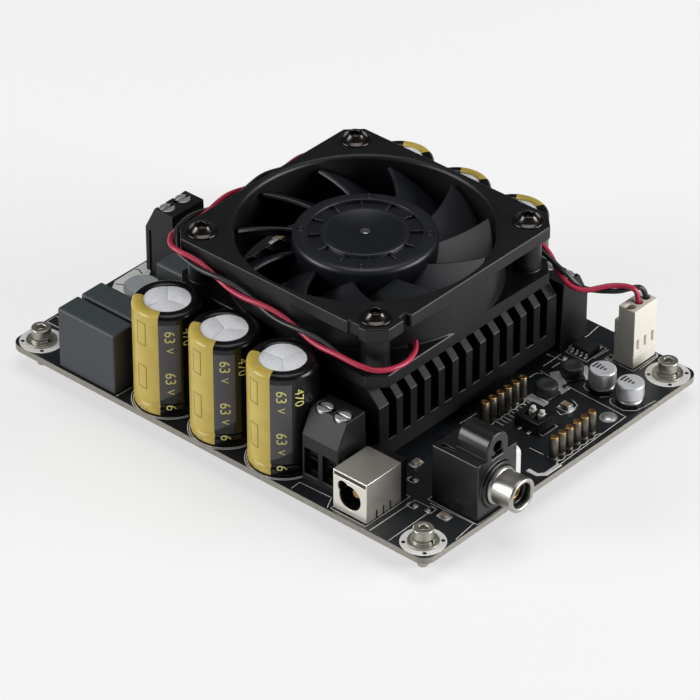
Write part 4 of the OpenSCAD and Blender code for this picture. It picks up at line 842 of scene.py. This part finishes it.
def finish_header_posts():
    """Header posts: a drawn sleeve with a gold ball tip, copied to every place."""
    boxes = solids_of("module_header_pins")
    low, high = boxes[0]
    r = (high.x - low.x) / 2
    tall = high.z - low.z
    sleeve = turned("sleeve", [(0, 0), (r, 0), (r, 0.5), (r - 0.08, 0.6), (r - 0.08, 0.9), (r, 1.0),
                               (r, tall - 0.6), (r - 0.06, tall - 0.5), (0.3, tall - 0.5)], 24)
    profile = [(0.3, tall - 0.52), (r - 0.08, tall - 0.5)] + arc(r - 0.35, tall - 0.3, 0.3, 0, 90, 5)
    profile += [(0.5, tall), (0.42, tall - 0.3), (0, tall - 0.32)]
    tip = turned("tip", profile, 24)
    smooth(sleeve, 40)
    smooth(tip, 60)
    # The post sleeves take the darkened tin: painted shade
    paint(sleeve, SHADED_POST_TIN)
    paint(tip, GOLD_PLATE)
    model = joined("post_model", [sleeve, tip])
    posts = [copy_at(model, "post_copy", (*middle_of(box), box[0].z)) for box in boxes]
    drop(model)
    stands_for(joined("header_posts", posts), "module_header_pins")


finish_header_posts()


def finish_cans():
    """Surface-mount capacitors: a drawn can crimped on a black base with cut corners."""
    boxes = solids_of("can_capacitors")
    low, high = boxes[0]
    width = high.y - low.y
    r = width / 2 - 0.2
    top = high.z - low.z
    profile = [(0, 1.0), (r - 0.35, 1.0)] + arc(r + 0.1, 1.7, 0.55, 230, 130, 5)
    profile += [(r, 2.3)] + arc(r - 0.5, top - 0.5, 0.5, 0, 90, 6)
    profile += [(r - 0.9, top - 0.04), (1.5, top - 0.04), (0, top - 0.04)]
    can = turned("can", profile, steps=48)
    smooth(can, 40)
    paint(can, CAN_METAL)
    paint_faces(can, CAN_LID, lambda c, n: n.z > 0.9 and c.z > (top - 0.3) * MM)
    mark = block("mark", (0.5, 2.2, 0.03), (-r + 1.1, 0, top - 0.05), 0.01, 1)
    bars = [copy_at(mark, "bar", (0.9 * k, 0, 0), size=(1, 1 - 0.2 * k, 1)) for k in range(1, 4)]
    for bar in [mark] + bars:
        paint(bar, CAN_INK)
    base = turned("base", [(0, 0), (r + 0.1, 0), (r + 0.1, 1.05), (0, 1.05)], 8)
    base.rotation_euler.z = math.radians(22.5)
    set_down(base)
    paint(base, JACK_PLASTIC)
    model = joined("can_model", [can, base, mark] + bars)
    pieces = [copy_at(model, "can_copy", (*middle_of(box), box[0].z)) for box in boxes]
    drop(model)
    stands_for(joined("can_pair", pieces), "can_capacitors")


finish_cans()


CHOKE_TURNS = (60, 90)


def finish_chokes():
    """Shielded chokes: a domed ferrite pot on a square foot with two tinned ends."""
    boxes = solids_of("chokes")
    low, high = boxes[0]
    width = high.y - low.y
    top = high.z - low.z
    r = width / 2 - 0.15
    profile = [(0, 0.5), (r - 0.3, 0.5), (r - 0.1, 0.8), (r - 0.1, top - 0.75)]
    profile += arc(r - 0.7, top - 0.6, 0.6, 5, 90, 6)
    profile += [(r - 1.3, top - 0.02), (r - 1.5, top - 0.1), (0, top - 0.1)]
    pot = turned("pot", profile, 48)
    smooth(pot, 40)
    paint(pot, FERRITE)
    foot = block("foot", (width - 0.9, width - 0.9, 0.6), (0, 0, 0), 0.3, 2)
    paint(foot, FERRITE)
    end = block("end", (1.6, width * 0.8, 0.32), (width / 2 - 0.85, 0, 0), 0.12, 2)
    paint(end, PAD_TIN)
    other = copy_at(end, "other_end", turn=180)
    model = joined("choke_model", [pot, foot, end, other])
    pieces = [copy_at(model, "choke_copy", (*middle_of(box), box[0].z), turn)
              for box, turn in zip(boxes, CHOKE_TURNS)]
    drop(model)
    stands_for(joined("choke_pair", pieces), "chokes")


finish_chokes()


def finish_chips():
    """Chip parts: a fired body between two tinned caps, made once and drawn to each size."""
    models = []
    for body_paint in (CERAMIC, RESISTOR):
        body = block("chip_body", (0.72, 0.94, 0.97), (0, 0, 0), 0.03, 1)
        cap = block("chip_cap", (0.24, 1.0, 1.0), (0.38, 0, 0), 0.06, 2)
        other = copy_at(cap, "other_cap", turn=180)
        paint(body, body_paint)
        paint(cap, TIN)
        paint(other, TIN)
        models.append(joined("chip_model", [body, cap, other]))
    pad = block("chip_pad", (0.5, 1.1, 0.04), (0.52, 0, 0), 0.01, 1)
    paint(pad, PAD_TIN)
    dash = block("chip_dash", (1.5, 0.16, 0.03), (0, 0, 0), 0.005, 1)
    paint(dash, INK)
    chips = []
    around = []
    for low, high in solids_of("chip_parts"):
        long, wide, tall = high.x - low.x, high.y - low.y, high.z - low.z
        model = models[0] if tall > 0.6 else models[1]
        across = wide > long
        size = (wide, long, tall) if across else (long, wide, tall)
        place = (*middle_of((low, high)), low.z)
        turn = 90 if across else 0
        chips.append(copy_at(model, "chip_copy", place, turn, size))
        for side in (-1, 1):
            around.append(copy_at(pad, "pad_copy", place, turn, (side * size[0], side * size[1], 1)))
            beside = Matrix.Rotation(math.radians(turn), 2) @ Vector((0, side * (size[1] / 2 + 0.35)))
            spot = (place[0] + beside.x, place[1] + beside.y, place[2])
            around.append(copy_at(dash, "dash_copy", spot, turn, (size[0], 1, 1)))
    drop(pad, dash, *models)
    stands_for(joined("chips", chips), "chip_parts")
    marks = joined("chip_pads", around)
    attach(marks, "board")


finish_chips()


def finish_driver():
    """Driver chip: a moulded body with bevelled sides and eight bent legs."""
    low, high = (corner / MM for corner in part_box("driver_chip"))
    x, y = middle_of((low, high))
    tall = high.z - low.z
    long = high.x - low.x
    deep = high.y - low.y - 2
    body = block("driver_body", (long, deep, tall - 0.15), (0, 0, 0.15), 0.18, 1)
    paint(body, EPOXY)
    disc = turned("disc", [(0.38, 0), (0.34, 0.015), (0, 0.0)], 20)
    dot = copy_at(disc, "first_leg_mark", (-long / 2 + 0.8, -deep / 2 + 0.8, tall))
    paint(dot, RESISTOR)
    foot = block("foot", (0.55, 0.75, 0.16), (0, -deep / 2 - 0.66, 0), 0.05, 1)
    shank = block("shank", (0.55, 0.18, 0.75), (0, -deep / 2 - 0.3, 0.0), 0.05, 1)
    bridge = block("bridge", (0.55, 0.4, 0.16), (0, -deep / 2 - 0.16, 0.62), 0.05, 1)
    leg = joined("leg", [foot, shank, bridge])
    paint(leg, PAD_TIN)
    legs = [copy_at(leg, "leg_copy", (1.27 * (k - 1.5), 0, 0)) for k in range(4)]
    legs += [copy_at(one, "leg_twin", turn=180) for one in legs]
    drop(leg)
    model = joined("driver_model", [body, dot] + legs)
    piece = copy_at(model, "driver_with_legs", (x, y, low.z))
    drop(model, disc)
    stands_for(piece, "driver_chip")


finish_driver()


def finish_switch():
    """Slide switch: the moulded body keeps its slots, the low outer faces are its tinned legs."""
    body = softened("switch_body", 0.15, JACK_PLASTIC)
    low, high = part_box("switch_body")
    foot = low.z + 0.45 * MM
    paint_faces(body, TIN, lambda c, n: c.z < foot and (c.y < low.y + 0.75 * MM or c.y > high.y - 0.75 * MM))


finish_switch()


# Print and pads on the board's upper face, as strips of ink and tin
INK_W = 0.22
INK_H = 0.06
BAND_W = 1.3
PRINT_LINES = [
    [(22.8, -45.4), (22.6, -42.6), (31.4, -42.2), (33.1, -45.5)],
    [(45.1, -45.6), (45.2, -31.1), (50.2, -31.0), (50.4, -45.6)],
    [(48.3, -29.8), (59.8, -29.2), (60.6, -35.9)],
    [(34.1, -3.7), (34.3, 1.8)],
    [(49.2, 9.7), (50.5, 9.6), (50.5, 4.8), (49.1, 4.8)],
    [(51.1, -0.5), (55, -0.4)],
    [(38.6, 14.8), (42.3, 14.7)],
    [(34.1, 19.8), (34.2, 22.2), (35.5, 22.8)],
    [(33.6, 25.1), (33.7, 29.4), (31.2, 29.3)],
    [(35.4, 26.1), (35.5, 28.7)],
    [(34.3, 23.4), (40.3, 22.9), (59.3, 22.2), (59.8, 1.0), (59.9, -3.5)],
    [(44.7, 26.1), (45.2, 25.1), (46.3, 24.5), (48.5, 24.3), (50.7, 24.4), (51.7, 25.7), (51.6, 28.8)],
    [(52.6, 25.7), (52.7, 24.9), (53.7, 24.0), (54.8, 23.8), (57.5, 23.7), (59.6, 25.5), (60.4, 31.3)],
    [(33.1, 34.5), (33.4, 40.9), (32.8, 45.5)],
    [(40, 34.9), (40.4, 39.7)],
    [(50.3, 38.3), (50.1, 44.8), (49.1, 45.6)],
    [(-28.7, -45.6), (-28.4, -39.4)],
    [(-60.4, -34.9), (-60.5, -31.9), (-59, -32.2)],
    [(-60.4, -34.9), (-56.4, -34.9)],
    [(56.1, -0.4), (58.5, -0.4), (58.7, 0.5)],
    [(46.8, 14), (48.3, 13.4), (49.1, 15.3)],
    [(46.6, 19.5), (48.8, 18.6), (49, 17.1)]]
BAR_ROWS = (0.4, 2.2, 3.5, 4.6, 6.0, 7.2, 8.5, 9.8, 11.2, 12.4, 13.8)
ZIGZAG_COLUMNS = (39.3, 59.0)
ZIGZAG_ROWS = [-1.4 + 1.27 * k for k in range(13)]
WIDE_LINES = [[(56, -7), (58.6, -7), (59.8, -5.5), (59.8, -0.8)]]
PATCH = [(-59, -15.4), (-60.3, -13.2), (-60.6, -2.8), (-57.4, -4.4), (-54.4, -9), (-52.8, -15.5)]
PATCH_MARKS = [[(-59.5, -13.9), (-57.6, -12.8)], [(-60.2, -6.6), (-59.6, -6.1), (-57.8, -6.9)]]
ON_PLACE = (44.6, 10.9)
ON_TURN = 0


def strip(name, points, width, high, material, closed=False):
    """A flat strip along points on the board, in mm."""
    curve = bpy.data.curves.new(name, "CURVE")
    curve.dimensions = "3D"
    curve.bevel_depth = width / 2 * MM
    curve.bevel_resolution = 1
    spline = curve.splines.new("POLY")
    spline.points.add(len(points) - 1)
    for point, (x, y) in zip(spline.points, points):
        point.co = (x * MM, y * MM, 0, 1)
    spline.use_cyclic_u = closed
    obj = bpy.data.objects.new(name, curve)
    scene.collection.objects.link(obj)
    only(obj)
    bpy.ops.object.convert(target="MESH")
    obj = bpy.context.object
    obj.scale.z = high / width
    obj.location.z = BOARD_TOP
    set_down(obj)
    paint(obj, material)
    return obj


def ring(x, y, r):
    """Points of a printed circle, cut off at the board's front edge."""
    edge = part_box("circuit_board")[0].y / MM + 0.2
    spots = [(x + r * math.cos(math.tau * i / 48), y + r * math.sin(math.tau * i / 48)) for i in range(48)]
    return [(across, max(along, edge)) for across, along in spots]


def plate(name, points, high, material):
    """A flat patch of ink inside points on the board, in mm."""
    curve = bpy.data.curves.new(name, "CURVE")
    curve.dimensions = "2D"
    curve.fill_mode = "BOTH"
    curve.extrude = high * MM
    spline = curve.splines.new("POLY")
    spline.points.add(len(points) - 1)
    for point, (x, y) in zip(spline.points, points):
        point.co = (x * MM, y * MM, 0, 1)
    spline.use_cyclic_u = True
    obj = bpy.data.objects.new(name, curve)
    scene.collection.objects.link(obj)
    only(obj)
    bpy.ops.object.convert(target="MESH")
    obj = bpy.context.object
    obj.location.z = BOARD_TOP
    set_down(obj)
    paint(obj, material)
    return obj


def flat_text(body, size, place, turn):
    """Generic lettering on the board, in mm."""
    bpy.ops.object.select_all(action="DESELECT")
    bpy.ops.object.text_add()
    label = bpy.context.object
    label.data.body = body
    label.data.size = size * MM
    label.data.extrude = 0.03 * MM
    label.data.resolution_u = 3
    bpy.ops.object.convert(target="MESH")
    label.rotation_euler.z = math.radians(turn)
    label.location = (place[0] * MM, place[1] * MM, BOARD_TOP)
    set_down(label)
    paint(label, INK)
    return label


OUTLINED = ("driver_chip", "fan_header", "dc_jack_housing", "phono_body")
OUTLINE_GAP = 0.5
EDGE_GAP = 0.3


def outline_of(node):
    """A printed rectangle round a part, kept on the board."""
    low, high = (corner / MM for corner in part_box(node))
    edge_low, edge_high = (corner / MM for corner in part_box("circuit_board"))
    xs = (max(low.x - OUTLINE_GAP, edge_low.x + EDGE_GAP), min(high.x + OUTLINE_GAP, edge_high.x - EDGE_GAP))
    ys = (max(low.y - OUTLINE_GAP, edge_low.y + EDGE_GAP), min(high.y + OUTLINE_GAP, edge_high.y - EDGE_GAP))
    corners = [(xs[0], ys[0]), (xs[1], ys[0]), (xs[1], ys[1]), (xs[0], ys[1])]
    return strip("outline", corners, INK_W, INK_H, INK, closed=True)


def finish_print():
    parts = [strip("line", line, INK_W, INK_H, INK) for line in PRINT_LINES]
    parts += [outline_of(node) for node in OUTLINED]
    parts += [strip("bar", [(39.5, y), (41.7, y)], INK_W, INK_H, INK) for y in BAR_ROWS]
    parts += [strip("band", line, BAND_W, INK_H, INK) for line in WIDE_LINES]
    for x in ZIGZAG_COLUMNS:
        zigzag = [(x + 0.25 * (-1) ** k, y) for k, y in enumerate(ZIGZAG_ROWS)]
        parts.append(strip("zigzag", zigzag, INK_W, INK_H, INK))
    parts.append(plate("patch", PATCH, 0.03, INK))
    parts += [strip("patch_mark", line, 0.5, 0.12, MASK) for line in PATCH_MARKS]
    parts.append(flat_text("ON", 1.9, ON_PLACE, ON_TURN))
    for number in (1, 2, 3):
        low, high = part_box(f"capacitor_front_{number}")
        middle = (low + high) / 2 / MM
        for reach in (0.15, 0.6):
            circle = ring(middle.x, middle.y, CAP_R + reach)
            parts.append(strip("circle", circle, 0.2, INK_H, INK, closed=True))
    prints = joined("board_print", parts)
    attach(prints, "board")


finish_print()


CORNER_X, CORNER_Y = 56, 41
VIA_REACH = 4.2
TEST_PAD_AT = (56.7, 19.5)


def finish_corner_pads():
    """Tinned rings round the corner holes, with four small holes each."""
    pad = turned("pad", [(1.6, 0), (1.6, 0.05), (4.9, 0.05), (5, 0)], 64)
    paint(pad, PAD_TIN)
    via = turned("via", [(0, 0.07), (0.45, 0.07), (0.5, 0)], 16)
    paint(via, MASK)
    spots = [(sx * CORNER_X, sy * CORNER_Y) for sx in (-1, 1) for sy in (-1, 1)]
    pads = [copy_at(pad, "pad_copy", (x, y, BOARD_TOP / MM)) for x, y in spots]
    for x, y in spots:
        for k in range(4):
            a = math.radians(45 + 90 * k)
            spot = (x + VIA_REACH * math.cos(a), y + VIA_REACH * math.sin(a), BOARD_TOP / MM)
            pads.append(copy_at(via, "via_copy", spot))
    test_pad = turned("test_pad", [(0, 0.5), (0.9, 0.42), (1.5, 0.2), (1.6, 0.06), (2, 0.05), (2, 0)], 40)
    smooth(test_pad, 50)
    paint(test_pad, TIN)
    pads.append(copy_at(test_pad, "test_pad_copy", (*TEST_PAD_AT, BOARD_TOP / MM)))
    choke_pad = block("choke_pad", (2.3, 5.2, 0.06), (3.3, 0, 0), 0.02, 1)
    paint(choke_pad, REFLOWED_PAD)
    for box, turn in zip(solids_of("chokes"), CHOKE_TURNS):
        for half in (0, 180):
            pads.append(copy_at(choke_pad, "choke_pad_copy", (*middle_of(box), BOARD_TOP / MM), turn + half))
    drop(pad, via, test_pad, choke_pad)
    piece = joined("corner_pads", pads)
    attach(piece, "board")


finish_corner_pads()

# Solids that show little or nothing keep their shape and take a finish; the terminal contact bars take the
# near-black steel, painted shade
for node, material in {
        "solder_joints": TIN, "amplifier_chip": EPOXY, "thermal_pad": PAD, "rotor_magnet": MAGNET,
        "rotor_shaft": STEEL, "bearing_sleeve": BRONZE, "stator": COIL, "fan_driver_board": GREEN_BOARD,
        "terminal_contacts": SHADED_CAGE_STEEL}.items():
    paint(nodes[node], material)


# Stage: a pale floor, soft lamps and an even surround
def floor_material():
    material, tree, shader = new_material("matt_white_floor", Roughness=0.9)
    shader.inputs["Base Color"].default_value = srgb("#f2f2f2")
    glow = add(tree, "ShaderNodeEmission", values={"Color": (1, 1, 1, 1), "Strength": 1.0})
    rays = add(tree, "ShaderNodeLightPath")
    seen = add(tree, "ShaderNodeMath", {0: rays.outputs["Is Camera Ray"], 1: rays.outputs["Is Glossy Ray"]},
               operation="MAXIMUM")
    shown = add(tree, "ShaderNodeMath", {0: seen.outputs[0], 1: rays.outputs["Is Transmission Ray"]},
                operation="MAXIMUM")
    share = add(tree, "ShaderNodeMath", {0: shown.outputs[0]}, {1: 0.55}, operation="MULTIPLY")
    mixed = add(tree, "ShaderNodeMixShader", {0: share.outputs[0], 1: shader.outputs[0], 2: glow.outputs[0]})
    tree.links.new(mixed.outputs[0], tree.nodes["Material Output"].inputs["Surface"])
    return material


bpy.ops.object.select_all(action="DESELECT")
bpy.ops.mesh.primitive_plane_add(size=6)
floor = bpy.context.object
floor.name = "floor"
floor.location.z = cad_box[0].z - 0.0002
paint(floor, floor_material())


def softbox(name, place, size, power):
    lamp = bpy.data.lights.new(name, "AREA")
    lamp.shape = "RECTANGLE"
    lamp.size, lamp.size_y = size
    lamp.energy = power
    obj = bpy.data.objects.new(name, lamp)
    obj.location = place
    obj.rotation_euler = (aim - Vector(place)).to_track_quat("-Z", "Y").to_euler()
    scene.collection.objects.link(obj)


softbox("key_front_left", (-0.62, -0.9, 0.4), (0.7, 0.6), 10.5)
softbox("right", (0.88, 0.5, 0.27), (0.7, 0.46), 12.0)
softbox("top", (0.0, 0.1, 1.1), (0.8, 0.8), 4.6)

world = bpy.data.worlds.new("surround")
scene.world = world
world.use_nodes = True
sky = world.node_tree.nodes["Background"]
sky.inputs["Color"].default_value = (0.95, 0.97, 1, 1)
sky.inputs["Strength"].default_value = 0.08
scene.view_settings.view_transform = "Standard"
